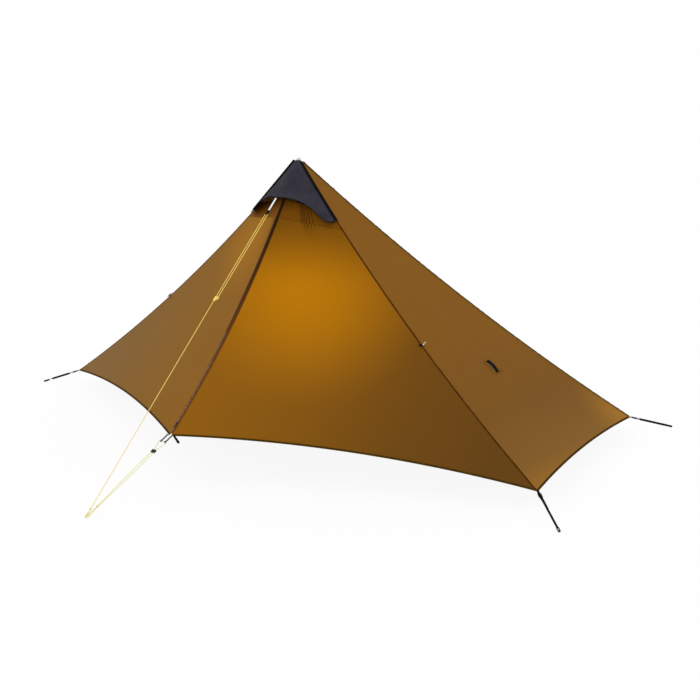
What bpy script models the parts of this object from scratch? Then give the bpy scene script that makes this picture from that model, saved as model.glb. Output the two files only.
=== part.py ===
"""Ultralight solo tent: a coated-cloth canopy on one centre pole, pitched with guy lines.

Metres, +Z up. The origin is on the ground under the pole. X runs along the tent, -Y is the front
with its vestibule, and the zip lies in the plane X = 0.
"""

import math

import bmesh
import bpy
from mathutils import Matrix, Vector

MM = 0.001
X_AXIS = Vector((1, 0, 0))
Y_AXIS = Vector((0, 1, 0))
Z_AXIS = Vector((0, 0, 1))

# Overall sizes of the pitched tent
PEAK_HEIGHT = 1.25
FRONT_HALF_LENGTH = 1.335
FRONT_SETBACK = 0.185
REAR_HALF_LENGTH = 1.245
REAR_DEPTH = 0.85
CORNER_HEIGHT = 0.08
VESTIBULE_DEPTH = 0.84
VESTIBULE_HEIGHT = 0.205
GUY_REACH = 1.305

# How far seams and hems curve away from straight lines
FRONT_RIDGE_SAG = 0.050
REAR_RIDGE_SAG = 0.039
ZIP_SAG = 0.050
DOOR_HEM_RISE = 0.043
END_HEM_RISE = 0.025
REAR_HEM_RISE = 0.050

# Cloth
CLOTH_THICKNESS = 1.5 * MM
RIDGE_GAP = 3.0 * MM
ZIP_GAP = 6.6 * MM
BINDING_THICKNESS = 0.7 * MM
BINDING_DEPTH = 6.0 * MM
BINDING_CLEARANCE = 0.4 * MM
BINDING_END = 0.018
CLOTH_COLUMNS = 12
CLOTH_ROWS = 10
TAPE_ARM = 8.0 * MM
RIDGE_TAPE_RUN = (0.02, 0.95)
RIDGE_TAPE_STATIONS = 14

# Fractions of the way from the peak to a corner, or to the front point
DOOR_TOP_AT_ZIP = 0.211
DOOR_TOP_AT_RIDGE = 0.2188
SILL_TOP_AT_ZIP = 0.145
SILL_TOP_AT_RIDGE = 0.165
SILL_GAP = 0.0065
SILL_FOOT_AT_ZIP = DOOR_TOP_AT_ZIP - SILL_GAP
SILL_FOOT_AT_RIDGE = DOOR_TOP_AT_RIDGE - SILL_GAP
END_PANEL_TOP = 0.014
REAR_PANEL_TOP = 0.022
HOOD_TIP_AT_RIDGE = 0.1928

# Vent hood
HOOD_BEAK_REACH = 0.160
HOOD_BEAK_DROP = 0.1545
HOOD_BEAK_HANDLE = Vector((0.1608, 0.1127, 0.0))
HOOD_TIP_HANDLE = Vector((-0.035, -0.1035, -0.0367))
HOOD_CROWN_RADIUS = 13.0 * MM
HOOD_CROWN_DROP = 13.5 * MM
HOOD_STANDOFF = 3.5 * MM
PIPING_RADIUS = 2.0 * MM

# Pole
UPPER_TUBE_RADIUS = 8.0 * MM
LOWER_TUBE_RADIUS = 7.0 * MM
TUBE_WALL = 0.65 * MM
SLIDING_CLEARANCE = 0.3 * MM
UPPER_TUBE_FOOT = 0.62
LOWER_TUBE_TOP = 0.75
TIP_SHOULDER_DROP = 22.3 * MM
GROMMET_RADIUS = 11.0 * MM
GROMMET_THICKNESS = 6.5 * MM
TIP_STEM_RADIUS = 4.0 * MM
FOOT_RADIUS = 10.0 * MM
FOOT_HEIGHT = 30.0 * MM
CLAMP_WALL = 3.5 * MM
CLAMP_RADIUS = UPPER_TUBE_RADIUS + CLAMP_WALL
CLAMP_HEIGHT = 46.0 * MM
LEVER_PIN_RADIUS = 1.6 * MM
LEVER_WIDTH = 16.0 * MM
LEVER_THICKNESS = 3.0 * MM
LEVER_SWEEP = 128.0
LEVER_EYE_RADIUS = 3.6 * MM
CLAMP_LAP = 16.0 * MM
CLAMP_EAR_HEIGHT = 4.8 * MM
CLAMP_SLIT = 1.2 * MM
TIP_SLEEVE = 27.7 * MM
TIP_PLUG = 27.0 * MM
FOOT_SOCKET = 12.0 * MM
CHAMFER = 1.0 * MM

# Cords and lines
CORD_RADIUS = 1.5 * MM
CORD_CLEARANCE = 0.45 * MM
GUY_LINE_TOP_DROP = 13.0 * MM
GUY_STRAP_START = 24.0 * MM
GUY_STRAP_END = 0.3035
GUY_STRAP_WIDTH = 8.4 * MM
GUY_STRAP_THICKNESS = 2.6 * MM
GUY_EYE_HALF = 3.6 * MM
GUY_EYE_WALL = 1.6 * MM
TENSIONER_FROM_STRAP = 0.437
TENSIONER_LENGTH = 22.0 * MM
TENSIONER_HALF_WIDTH = 10.0 * MM
TENSIONER_THICKNESS = 6.4 * MM
TENSIONER_WALL = 2.6 * MM
STRAND_CLEARANCE = 0.3 * MM
STRAND_OFFSET = GUY_STRAP_WIDTH / 2 + CORD_RADIUS + STRAND_CLEARANCE
FRONT_RING_DISTANCE = 36.0 * MM
LINE_LOK_DISTANCE = 88.0 * MM
LINE_LOK_LENGTH = 16.0 * MM
LINE_LOK_HALF_WIDTH = 10.0 * MM
LINE_LOK_THICKNESS = 6.0 * MM
FRONT_KNOT_FROM_GROUND = 73.0 * MM
LOOP_FROM_GROUND = 8.0 * MM
TAB_OFFSET = 12.0 * MM
FITTING_START = -9.0 * MM
EYE_TAB_WIDTH = 9.0 * MM
EYE_TAB_WALL = 1.5 * MM
HOOK_WIDTH = 6.0 * MM
HOOK_WALL = 2.2 * MM
RING_HALF = 20.0 * MM
RING_STRAND_X = 5.0 * MM
GROUND_STRAND_X = 7.0 * MM
TIE_TAB_LENGTH = 15.0 * MM
TIE_TAB_RADIUS = 3.0 * MM
TIE_TAB_THICKNESS = 1.4 * MM

# Corner straps: compass direction on the ground, from +X, and length from corner to loop end
CORNER_STRAPS = {
    "left_front": (201.5, 0.2194),
    "right_front": (-38.2, 0.2248),
    "right_rear": (59.0, 0.2466),
    "left_rear": (124.4, 0.2437),
}
WEBBING_WIDTH = 10.0 * MM
WEBBING_THICKNESS = 1.0 * MM
LOCK_START = 12.0 * MM
LOCK_LENGTH = 22.0 * MM
LOCK_WIDTH = 16.0 * MM
LOCK_THICKNESS = 3.0 * MM
LOCK_RIM = 2.4 * MM
LOCK_BAR_CLEARANCE = 0.9 * MM
LOCK_SLOTS = ((3.5 * MM, 9.5 * MM), (12.5 * MM, 19.0 * MM))
TAIL_END = 0.100
PEG_LOOP_LENGTH = 32.0 * MM
PEG_LOOP_WIDTH = 14.0 * MM
PEG_LOOP_WALL = 2.5 * MM
PEG_LOOP_HEIGHT = 8.0 * MM

# Small fittings on the canopy
SIDE_LOOP_PLACE = (0.485, 0.705)
SIDE_LOOP_LENGTH = 65.0 * MM
SIDE_LOOP_WIDTH = 10.0 * MM
SIDE_LOOP_STANDOFF = 12.0 * MM
SIDE_LOOP_THICKNESS = 1.2 * MM
SIDE_LOOP_CLEARANCE = 1.0 * MM
TOGGLE_PLACE = 0.57
TOGGLE_LENGTH = 16.0 * MM
TOGGLE_RADIUS = 2.3 * MM
TOGGLE_CORD_RADIUS = 1.1 * MM

APEX = Vector((0, 0, PEAK_HEIGHT))
FRONT_POINT = Vector((0, -VESTIBULE_DEPTH, VESTIBULE_HEIGHT))
GROUND_POINT = Vector((0, -GUY_REACH, 0))
CORNERS = {
    "left_front": Vector((-FRONT_HALF_LENGTH, -FRONT_SETBACK, CORNER_HEIGHT)),
    "right_front": Vector((FRONT_HALF_LENGTH, -FRONT_SETBACK, CORNER_HEIGHT)),
    "left_rear": Vector((-REAR_HALF_LENGTH, REAR_DEPTH, CORNER_HEIGHT)),
    "right_rear": Vector((REAR_HALF_LENGTH, REAR_DEPTH, CORNER_HEIGHT)),
}
RIDGE_SAGS = {
    "left_front": FRONT_RIDGE_SAG,
    "right_front": FRONT_RIDGE_SAG,
    "left_rear": REAR_RIDGE_SAG,
    "right_rear": REAR_RIDGE_SAG,
}
SIDES = {"left": -1, "right": 1}


# Scene, collections and materials

for old_object in list(bpy.data.objects):
    bpy.data.objects.remove(old_object, do_unlink=True)

ROUND_STEPS = 20
PARTS = bpy.data.collections.new("ultralight_tent")
CUTTERS = bpy.data.collections.new("cutters")
bpy.context.scene.collection.children.link(PARTS)
bpy.context.scene.collection.children.link(CUTTERS)
CUTTERS.hide_render = True


def material(name, colour, roughness, metallic=0.0):
    """A plain Principled material from a linear colour."""
    made = bpy.data.materials.new(name)
    made.use_nodes = True
    shader = made.node_tree.nodes["Principled BSDF"]
    shader.inputs["Base Color"].default_value = (*colour, 1.0)
    shader.inputs["Roughness"].default_value = roughness
    shader.inputs["Metallic"].default_value = metallic
    made.diffuse_color = (*colour, 1.0)
    return made


FLY_CLOTH = material("fly_cloth", (0.26, 0.13, 0.03), 0.45)
HOOD_CLOTH = material("hood_cloth", (0.04, 0.04, 0.05), 0.55)
BLACK_BINDING = material("black_binding", (0.02, 0.02, 0.02), 0.7)
ZIP_NYLON = material("zip_nylon", (0.03, 0.02, 0.015), 0.5)
BLACK_METAL = material("black_metal", (0.03, 0.03, 0.03), 0.35, 0.8)
CARBON_TUBE = material("carbon_tube", (0.03, 0.03, 0.03), 0.3)
PALE_PLASTIC = material("pale_plastic", (0.75, 0.75, 0.73), 0.4)
BLACK_PLASTIC = material("black_plastic", (0.02, 0.02, 0.022), 0.4)
BLACK_WEBBING = material("black_webbing", (0.02, 0.02, 0.022), 0.8)
GREY_WEBBING = material("grey_webbing", (0.16, 0.16, 0.17), 0.8)
YELLOW_CORD = material("yellow_cord", (0.80, 0.50, 0.06), 0.6)
YELLOW_PLASTIC = material("yellow_plastic", (0.85, 0.70, 0.25), 0.4)


# Placing and building helpers

FRAMES = {}


def frame_matrix(origin, x_axis, y_axis):
    """A placing matrix from an origin and two directions that are nearly square to each other."""
    x_dir = x_axis.normalized()
    z_dir = x_dir.cross(y_axis).normalized()
    y_dir = z_dir.cross(x_dir)
    rotation = Matrix((x_dir, y_dir, z_dir)).transposed()
    return Matrix.Translation(origin) @ rotation.to_4x4()


def add_frame(name, matrix):
    """An empty that carries the pieces of one moving or fitted group."""
    empty = bpy.data.objects.new(name, None)
    empty.matrix_world = matrix
    empty.empty_display_size = 0.02
    PARTS.objects.link(empty)
    FRAMES[name] = matrix
    return empty


def add_piece(name, data, look, frame_name=None, local=False):
    """Names a mesh or curve as a piece, under its frame; local data is already in that frame."""
    piece = bpy.data.objects.new(name, data)
    data.materials.clear()
    data.materials.append(look)
    PARTS.objects.link(piece)
    if frame_name:
        piece.parent = bpy.data.objects[frame_name]
        if not local:
            data.transform(FRAMES[frame_name].inverted())
    return piece


def mesh_from(bm, name, smooth=True):
    """Ends a bmesh as a mesh, shaded smooth across all but its sharp edges."""
    mesh = bpy.data.meshes.new(name)
    bm.to_mesh(mesh)
    bm.free()
    if smooth:
        mesh.shade_smooth()
        mesh.set_sharp_from_angle(angle=math.radians(35))
    return mesh


def solidify(piece, thickness, offset):
    """Gives an open surface its wall."""
    wall = piece.modifiers.new("wall", "SOLIDIFY")
    wall.thickness = thickness
    wall.offset = offset
    wall.use_even_offset = True


def loft(rings, name):
    """A closed skin over rings of equal count, for sections that change along their way."""
    bm = bmesh.new()
    loops = [[bm.verts.new(point) for point in ring] for ring in rings]
    count = len(rings[0])
    for first, second in zip(loops, loops[1:]):
        for i in range(count):
            j = (i + 1) % count
            bm.faces.new((first[i], first[j], second[j], second[i]))
    bm.faces.new(loops[0][::-1])
    bm.faces.new(loops[-1])
    bmesh.ops.recalc_face_normals(bm, faces=bm.faces)
    return mesh_from(bm, name)


def tube(name, points, radius, look, frame_name=None):
    """A round cord or tube along world points."""
    curve = bpy.data.curves.new(name, "CURVE")
    curve.dimensions = "3D"
    curve.bevel_depth = radius
    curve.bevel_resolution = 2
    curve.use_fill_caps = True
    spline = curve.splines.new("POLY")
    spline.points.add(len(points) - 1)
    for place, point in zip(spline.points, points):
        place.co = (*point, 1.0)
    return add_piece(name, curve, look, frame_name)


def flat_outline(name, loops, thickness, look, frame_name, place=None):
    """A flat plate from closed outlines, centred on its own XY plane, and put where place says."""
    curve = bpy.data.curves.new(name, "CURVE")
    curve.dimensions = "2D"
    curve.fill_mode = "BOTH"
    curve.extrude = thickness / 2
    for loop in loops:
        spline = curve.splines.new("POLY")
        spline.points.add(len(loop) - 1)
        for point, (x, y) in zip(spline.points, loop):
            point.co = (x, y, 0.0, 1.0)
        spline.use_cyclic_u = True
    piece = add_piece(name, curve, look, frame_name, local=True)
    if place is not None:
        piece.matrix_basis = place
    return piece


def as_mesh(piece):
    """Turns a curve piece into a welded mesh piece that can be cut."""
    graph = bpy.context.evaluated_depsgraph_get()
    mesh = bpy.data.meshes.new_from_object(piece.evaluated_get(graph))
    bm = bmesh.new()
    bm.from_mesh(mesh)
    bmesh.ops.remove_doubles(bm, verts=bm.verts, dist=0.001 * MM)
    bm.to_mesh(mesh)
    bm.free()
    made = bpy.data.objects.new(piece.name + "_solid", mesh)
    PARTS.objects.link(made)
    made.parent = piece.parent
    made.matrix_basis = piece.matrix_basis
    name = piece.name
    bpy.data.objects.remove(piece)
    made.name = name
    return made


def turned(name, profile, look, steps, frame_name=None):
    """A round piece about Z from a closed outline of (radius, height), outer side first, downwards."""
    bm = bmesh.new()
    verts = [bm.verts.new((radius, 0, height)) for radius, height in profile]
    open_at_axis = profile[0][0] == 0 and profile[-1][0] == 0
    for first, second in zip(verts, verts[1:]):
        bm.edges.new((first, second))
    if not open_at_axis:
        bm.edges.new((verts[-1], verts[0]))
    piece = add_piece(name, mesh_from(bm, name, smooth=False), look, frame_name)
    screw = piece.modifiers.new("turn", "SCREW")
    screw.steps = steps
    screw.render_steps = steps
    screw.use_merge_vertices = True
    screw.merge_threshold = 0.00001
    screw.use_smooth_shade = True
    return piece


def band(name, path, width, thickness, look, frame_name):
    """Webbing in a frame: a strip along (x, z) points, its width along the frame's Y."""
    bm = bmesh.new()
    bmesh.ops.create_grid(bm, x_segments=len(path) - 1, y_segments=1, size=0.5)
    columns = sorted({round(vert.co.x, 5) for vert in bm.verts})
    for vert in bm.verts:
        x, z = path[columns.index(round(vert.co.x, 5))]
        vert.co = Vector((x, vert.co.y * width, z))
    piece = add_piece(name, mesh_from(bm, name), look, frame_name, local=True)
    solidify(piece, thickness, 0.0)
    return piece


def cutter(name, kind, matrix, size):
    """A hidden box or cylinder that cuts another piece; size is (x, y, z) or (radius, height)."""
    if kind == "box":
        bpy.ops.mesh.primitive_cube_add(size=1.0)
        scale = Matrix.Diagonal((*size, 1.0))
    else:
        bpy.ops.mesh.primitive_cylinder_add(vertices=16, radius=1.0, depth=1.0)
        scale = Matrix.Diagonal((size[0], size[0], size[1], 1.0))
    tool = bpy.context.active_object
    tool.name = name
    tool.data.transform(scale)
    tool.matrix_world = matrix
    tool.hide_render = True
    tool.display_type = "WIRE"
    for collection in list(tool.users_collection):
        collection.objects.unlink(tool)
    CUTTERS.objects.link(tool)
    return tool


def combine(piece, tool, operation):
    """Cuts a piece with a tool, or joins the two."""
    step = piece.modifiers.new(operation.lower(), "BOOLEAN")
    step.operation = operation
    step.object = tool
    step.solver = "EXACT"


def arc(centre_x, centre_y, radius, start, end, count):
    """Points on an arc in a plane, angles in degrees."""
    angles = [math.radians(start + (end - start) * i / (count - 1)) for i in range(count)]
    return [(centre_x + radius * math.cos(a), centre_y + radius * math.sin(a)) for a in angles]


def stadium(centre_x, half_length, radius, count=7):
    """A slot outline with round ends, lying along X."""
    reach = half_length - radius
    right = arc(centre_x + reach, 0, radius, -90, 90, count)
    left = arc(centre_x - reach, 0, radius, 90, 270, count)
    return right + left


def rounded_box(low_x, high_x, half_width, radius, count=4):
    """A rectangle outline with round corners, centred on the X axis."""
    points = arc(high_x - radius, half_width - radius, radius, 0, 90, count)
    points += arc(low_x + radius, half_width - radius, radius, 90, 180, count)
    points += arc(low_x + radius, radius - half_width, radius, 180, 270, count)
    points += arc(high_x - radius, radius - half_width, radius, 270, 360, count)
    return points


def smooth_route(points, spacing, most=6):
    """A smooth curve through chosen points, read at even steps and more sparsely on long spans."""
    route = [Vector(point) for point in points]
    padded = [2 * route[0] - route[1], *route, 2 * route[-1] - route[-2]]
    result = []
    for before, start, end, after in zip(padded, padded[1:], padded[2:], padded[3:]):
        span = (end - start).length
        lead = (end - before) * span / ((start - before).length + span)
        trail = (after - start) * span / ((after - end).length + span)
        count = max(1, min(most, round(span / spacing)))
        for i in range(count):
            t = i / count
            t2 = t * t
            t3 = t2 * t
            place = start * (2 * t3 - 3 * t2 + 1) + lead * (t3 - 2 * t2 + t)
            result.append(place + end * (3 * t2 - 2 * t3) + trail * (t3 - t2))
    return result + [route[-1]]


def mix(first, second, amount):
    return first + (second - first) * amount


# Canopy lines: ridges, zip arc and hems


def ridge_point(corner, t):
    """A point on the sagging seam from the peak (0) to a corner (1)."""
    chord = CORNERS[corner] - APEX
    level = Vector((chord.x, chord.y, 0))
    inward = Vector((chord.z * level.normalized().x, chord.z * level.normalized().y, -level.length))
    sag = 4 * RIDGE_SAGS[corner] * t * (1 - t)
    return APEX + chord * t + inward.normalized() * sag


ZIP_CHORD = FRONT_POINT - APEX
ZIP_LENGTH = ZIP_CHORD.length
ZIP_ALONG = ZIP_CHORD.normalized()
ZIP_OUTWARD = ZIP_ALONG.cross(X_AXIS)
ZIP_RADIUS = (ZIP_LENGTH**2 / 4 + ZIP_SAG**2) / (2 * ZIP_SAG)
ZIP_HALF_ANGLE = math.asin(ZIP_LENGTH / 2 / ZIP_RADIUS)
ZIP_CENTRE = APEX + ZIP_CHORD / 2 + ZIP_OUTWARD * (ZIP_RADIUS - ZIP_SAG)


def zip_point(t):
    """A point on the zip's arc from the peak (0) to the front point (1)."""
    angle = (2 * t - 1) * ZIP_HALF_ANGLE
    return ZIP_CENTRE + ZIP_RADIUS * (ZIP_ALONG * math.sin(angle) - ZIP_OUTWARD * math.cos(angle))


def zip_directions(t):
    """Down the zip, and out of the tent, at a point of the zip's arc."""
    angle = (2 * t - 1) * ZIP_HALF_ANGLE
    along = ZIP_ALONG * math.cos(angle) + ZIP_OUTWARD * math.sin(angle)
    outward = ZIP_OUTWARD * math.cos(angle) - ZIP_ALONG * math.sin(angle)
    return along, outward


def hem_line(start, end, rise):
    """A hem that arches up between two ends, as a function of the share of its way."""
    chord = (end - start).normalized()
    up = APEX - start
    up = (up - chord * up.dot(chord)).normalized()
    return lambda u: mix(start, end, u) + up * (4 * rise * u * (1 - u))


def patch(left, right, top, bottom):
    """A surface (u, v) between four boundary curves, v running down."""

    def point(u, v):
        across = mix(left(v), right(v), u)
        down = mix(top(u), bottom(u), v)
        low = mix(bottom(0), bottom(1), u)
        return across + down - mix(mix(top(0), top(1), u), low, v)

    return point


def line(first, second):
    return lambda t: mix(first, second, t)


def span(curve, start, end=1.0):
    return lambda t: curve(mix(start, end, t))


def door_surface(side):
    """The door from the zip (u = 0) to its front ridge (u = 1), by the side's name."""
    corner = side + "_front"
    zip_edge = span(zip_point, DOOR_TOP_AT_ZIP)
    ridge_edge = span(lambda t: ridge_point(corner, t), DOOR_TOP_AT_RIDGE)
    hem = hem_line(FRONT_POINT, CORNERS[corner], DOOR_HEM_RISE)
    return patch(zip_edge, ridge_edge, line(zip_edge(0), ridge_edge(0)), hem)


def end_surface(side):
    """The end panel from the front ridge (u = 0) to the rear ridge (u = 1)."""
    front = span(lambda t: ridge_point(side + "_front", t), END_PANEL_TOP)
    rear = span(lambda t: ridge_point(side + "_rear", t), END_PANEL_TOP)
    hem = hem_line(CORNERS[side + "_front"], CORNERS[side + "_rear"], END_HEM_RISE)
    return patch(front, rear, line(front(0), rear(0)), hem)


def rear_surface():
    """The rear panel from the right ridge (u = 0) to the left ridge (u = 1)."""
    right = span(lambda t: ridge_point("right_rear", t), REAR_PANEL_TOP)
    left = span(lambda t: ridge_point("left_rear", t), REAR_PANEL_TOP)
    hem = hem_line(CORNERS["right_rear"], CORNERS["left_rear"], REAR_HEM_RISE)
    return patch(right, left, line(right(0), left(0)), hem)


def surface_axes(surface, u, v):
    """Unit directions across and down a surface, and its normal, turned out of the tent."""
    step = 0.0005
    across = (surface(u + step, v) - surface(u - step, v)).normalized()
    down = (surface(u, v + step) - surface(u, v - step)).normalized()
    normal = across.cross(down).normalized()
    if normal.dot(surface(u, v) - Vector((0, 0, PEAK_HEIGHT / 4))) < 0:
        normal = -normal
    return across, down, normal


def inset(surface, v, gap, at_end):
    """The share of the width that keeps an edge of the cloth the gap away from its seam line."""
    step = 0.0005
    u = 1 - step if at_end else step
    across, down, _ = surface_axes(surface, u, min(max(v, step), 1 - step))
    width = (surface(1, v) - surface(0, v)).length
    return gap / (width * across.cross(down).length)


def cloth(name, surface, gaps, columns, rows, look, frame_name=None):
    """A cloth panel over a surface, held clear of the seam lines by the two gaps."""
    bm = bmesh.new()
    bmesh.ops.create_grid(bm, x_segments=columns, y_segments=rows, size=0.5)
    for vert in bm.verts:
        v = 0.5 - vert.co.y
        low = inset(surface, v, gaps[0], False)
        high = 1 - inset(surface, v, gaps[1], True)
        vert.co = surface(mix(low, high, vert.co.x + 0.5), v)
    bm.faces.ensure_lookup_table()
    bm.normal_update()
    _, _, outward = surface_axes(surface, 0.5, 0.5)
    middle = bm.faces[len(bm.faces) // 2]
    if middle.normal.dot(outward) < 0:
        bmesh.ops.reverse_faces(bm, faces=bm.faces)
    piece = add_piece(name, mesh_from(bm, name), look, frame_name)
    solidify(piece, CLOTH_THICKNESS, -1.0)
    return piece


def strip(name, rows, thickness, look, frame_name=None):
    """A narrow folded tape: rows of points across it, station by station, given a wall."""
    bm = bmesh.new()
    bmesh.ops.create_grid(bm, x_segments=len(rows[0]) - 1, y_segments=len(rows) - 1, size=0.5)
    across = sorted({round(vert.co.x, 5) for vert in bm.verts})
    stations = sorted({round(vert.co.y, 5) for vert in bm.verts})
    places = []
    for vert in bm.verts:
        row = rows[stations.index(round(vert.co.y, 5))]
        places.append(row[across.index(round(vert.co.x, 5))])
    for vert, place in zip(bm.verts, places):
        vert.co = place
    piece = add_piece(name, mesh_from(bm, name), look, frame_name)
    solidify(piece, thickness, 0.0)
    return piece


def hem_binding(name, surface, gaps, columns, look, frame_name=None):
    """Folded tape round a hem, clear of both faces of the cloth and bent where the cloth bends."""
    face_gap = BINDING_CLEARANCE + BINDING_THICKNESS / 2
    half = CLOTH_THICKNESS / 2 + face_gap
    shoulder = -0.35 * half
    section = [(BINDING_DEPTH, half), (shoulder, half), (-half, 0.0)]
    section += [(shoulder, -half), (BINDING_DEPTH, -half)]
    low = inset(surface, 1.0, gaps[0], False)
    high = 1 - inset(surface, 1.0, gaps[1], True)
    shares = [BINDING_END, *[i / columns for i in range(1, columns)], 1 - BINDING_END]
    rows = []
    for share in shares:
        u = mix(low, high, share)
        across, down, normal = surface_axes(surface, u, 1.0)
        up = normal.cross(across)
        if up.dot(down) > 0:
            up = -up
        edge = surface(u, 1.0) - normal * CLOTH_THICKNESS / 2
        rows.append([edge + up * depth + normal * height for depth, height in section])
    return strip(name, rows, BINDING_THICKNESS, look, frame_name)


def ridge_tape(name, first, first_edge, second, second_edge, stations):
    """Folded tape inside a ridge, below the edges of the two panels that meet there."""
    depth = CLOTH_THICKNESS + BINDING_CLEARANCE + BINDING_THICKNESS / 2
    rows = []
    for i in range(stations + 1):
        v = mix(*RIDGE_TAPE_RUN, i / stations)
        arms = []
        for surface, edge, t in ((first, first_edge, v), (second, second_edge, v)):
            across, down, normal = surface_axes(surface, edge, t)
            away = down.cross(normal)
            inward = across if edge < 0.5 else -across
            arms.append((away if away.dot(inward) > 0 else -away, normal))
        (arm_a, normal_a), (arm_b, normal_b) = arms
        seam = first(first_edge, v)
        centre = seam - (normal_a + normal_b) * depth / (1 + normal_a.dot(normal_b))
        tip_a = seam + arm_a * TAPE_ARM - normal_a * depth
        tip_b = seam + arm_b * TAPE_ARM - normal_b * depth
        rows.append([tip_a, centre, tip_b])
    return strip(name, rows, BINDING_THICKNESS, BLACK_BINDING)


# Canopy cloth

DOORS = {side: door_surface(side) for side in SIDES}
ENDS = {side: end_surface(side) for side in SIDES}
REAR = rear_surface()
DOOR_GAPS = (ZIP_GAP, RIDGE_GAP)
RIDGE_GAPS = (RIDGE_GAP, RIDGE_GAP)

for side in SIDES:
    hinge_top = ridge_point(side + "_front", DOOR_TOP_AT_RIDGE)
    hinge_line = (CORNERS[side + "_front"] - hinge_top).normalized()
    add_frame(side + "_door_hinge", frame_matrix(hinge_top, hinge_line, Y_AXIS))

for side in SIDES:
    hinge = side + "_door_hinge"
    columns, rows = CLOTH_COLUMNS, CLOTH_ROWS
    cloth(side + "_door_panel", DOORS[side], DOOR_GAPS, columns, rows, FLY_CLOTH, hinge)
    cloth(side + "_end_panel", ENDS[side], RIDGE_GAPS, columns, rows, FLY_CLOTH)
    hem_binding(side + "_door_hem_binding", DOORS[side], DOOR_GAPS, columns, BLACK_BINDING, hinge)
    hem_binding(side + "_end_hem_binding", ENDS[side], RIDGE_GAPS, columns, BLACK_BINDING)

cloth("rear_panel", REAR, RIDGE_GAPS, CLOTH_COLUMNS, CLOTH_ROWS, FLY_CLOTH)
hem_binding("rear_hem_binding", REAR, RIDGE_GAPS, CLOTH_COLUMNS, BLACK_BINDING)


def sill_point(u, v):
    """The fixed cloth across the top of the zip, folded in the middle."""
    side = "left" if u < 0.5 else "right"
    share = abs(2 * u - 1)
    at_zip = zip_point(mix(SILL_TOP_AT_ZIP, SILL_FOOT_AT_ZIP, v))
    at_ridge = ridge_point(side + "_front", mix(SILL_TOP_AT_RIDGE, SILL_FOOT_AT_RIDGE, v))
    return mix(at_zip, at_ridge, share)


cloth("vent_sill", sill_point, RIDGE_GAPS, 8, 2, FLY_CLOTH)


def front_side(side):
    """The front ridge's neighbour towards the zip, read along the end panel's own length."""
    corner = side + "_front"

    def point(u, v):
        t = mix(END_PANEL_TOP, 1.0, v)
        return mix(ridge_point(corner, t), zip_point(t), u)

    return point


for side in SIDES:
    name = side + "_front_ridge_tape"
    ridge_tape(name, ENDS[side], 0.0, front_side(side), 0.0, RIDGE_TAPE_STATIONS)


def rear_side(side):
    """The rear panel's cloth, read along the end panel's own length from its rear ridge."""
    other = "left" if side == "right" else "right"

    def point(u, v):
        t = mix(END_PANEL_TOP, 1.0, v)
        return mix(ridge_point(side + "_rear", t), ridge_point(other + "_rear", t), u)

    return point


for side in SIDES:
    name = side + "_rear_ridge_tape"
    ridge_tape(name, ENDS[side], 1.0, rear_side(side), 0.0, RIDGE_TAPE_STATIONS)


# Zip: two coil tapes, and a slider that straddles them

COIL_START = 0.8 * MM
COIL_END = 3.0 * MM
COIL_HEIGHT = 2.2 * MM
TAPE_END = 12.0 * MM
TAPE_LOW = 0.4 * MM
TAPE_HIGH = 1.3 * MM
ZIP_FOOT = 0.975
SLIDER_PLACE = 0.955
SLIDER_LENGTH = 14.0 * MM
SLIDER_CLEARANCE = 0.35 * MM
SLIDER_WALL = 1.2 * MM
SLIDER_WEB = 0.35 * MM
SLIDER_LIP = 0.95 * MM
LUG_RISE = 5.6 * MM
LUG_SIZE = (1.4 * MM, 5.2 * MM, 4.2 * MM)
LUG_HOLE_RADIUS = 1.25 * MM
PULL_HALF_WIDTH = 3.2 * MM
PULL_REACH = 26.0 * MM
PULL_TIP_RADIUS = 2.4 * MM
PULL_THICKNESS = 1.2 * MM
PULL_SLOT = (1.3 * MM, 0.6 * MM, 4.6 * MM)
ZIP_STATIONS = 18


def door_slope():
    """The angle by which the doors fall away on both sides of the zip, half way down."""
    across, _, _ = surface_axes(DOORS["right"], 0.001, 0.5)
    _, outward = zip_directions(mix(DOOR_TOP_AT_ZIP, 1.0, 0.5))
    return math.atan2(-across.dot(outward), across.x)


DOOR_SLOPE = door_slope()


def coil_place(sign, t, p, q):
    """A point p out from the zip line along a door, and q above the door's face."""
    _, outward = zip_directions(t)
    across = X_AXIS * sign * math.cos(DOOR_SLOPE) - outward * math.sin(DOOR_SLOPE)
    normal = X_AXIS * sign * math.sin(DOOR_SLOPE) + outward * math.cos(DOOR_SLOPE)
    return zip_point(t) + across * p + normal * q


def tape_place(side, t, p, q):
    """The same, but on the door's own cloth, for the tape's outer edge."""
    v = (t - DOOR_TOP_AT_ZIP) / (1 - DOOR_TOP_AT_ZIP)
    surface = DOORS[side]
    u = inset(surface, v, p, False)
    _, _, normal = surface_axes(surface, u, min(max(v, 0.001), 0.999))
    return surface(u, v) + normal * q


for side, sign in SIDES.items():
    stations = []
    for i in range(ZIP_STATIONS + 1):
        t = mix(DOOR_TOP_AT_ZIP, ZIP_FOOT, i / ZIP_STATIONS)
        stations.append(
            [
                coil_place(sign, t, COIL_START, 0.0),
                coil_place(sign, t, COIL_END, 0.0),
                coil_place(sign, t, COIL_END, TAPE_LOW),
                tape_place(side, t, TAPE_END, TAPE_LOW),
                tape_place(side, t, TAPE_END, TAPE_HIGH),
                coil_place(sign, t, COIL_END, TAPE_HIGH),
                coil_place(sign, t, COIL_END, COIL_HEIGHT),
                coil_place(sign, t, COIL_START, COIL_HEIGHT),
            ]
        )
    tape = loft(stations, side + "_zip_tape")
    add_piece(side + "_zip_tape", tape, ZIP_NYLON, side + "_door_hinge")

add_frame("zip_arc_centre", Matrix.Translation(ZIP_CENTRE))


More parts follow.
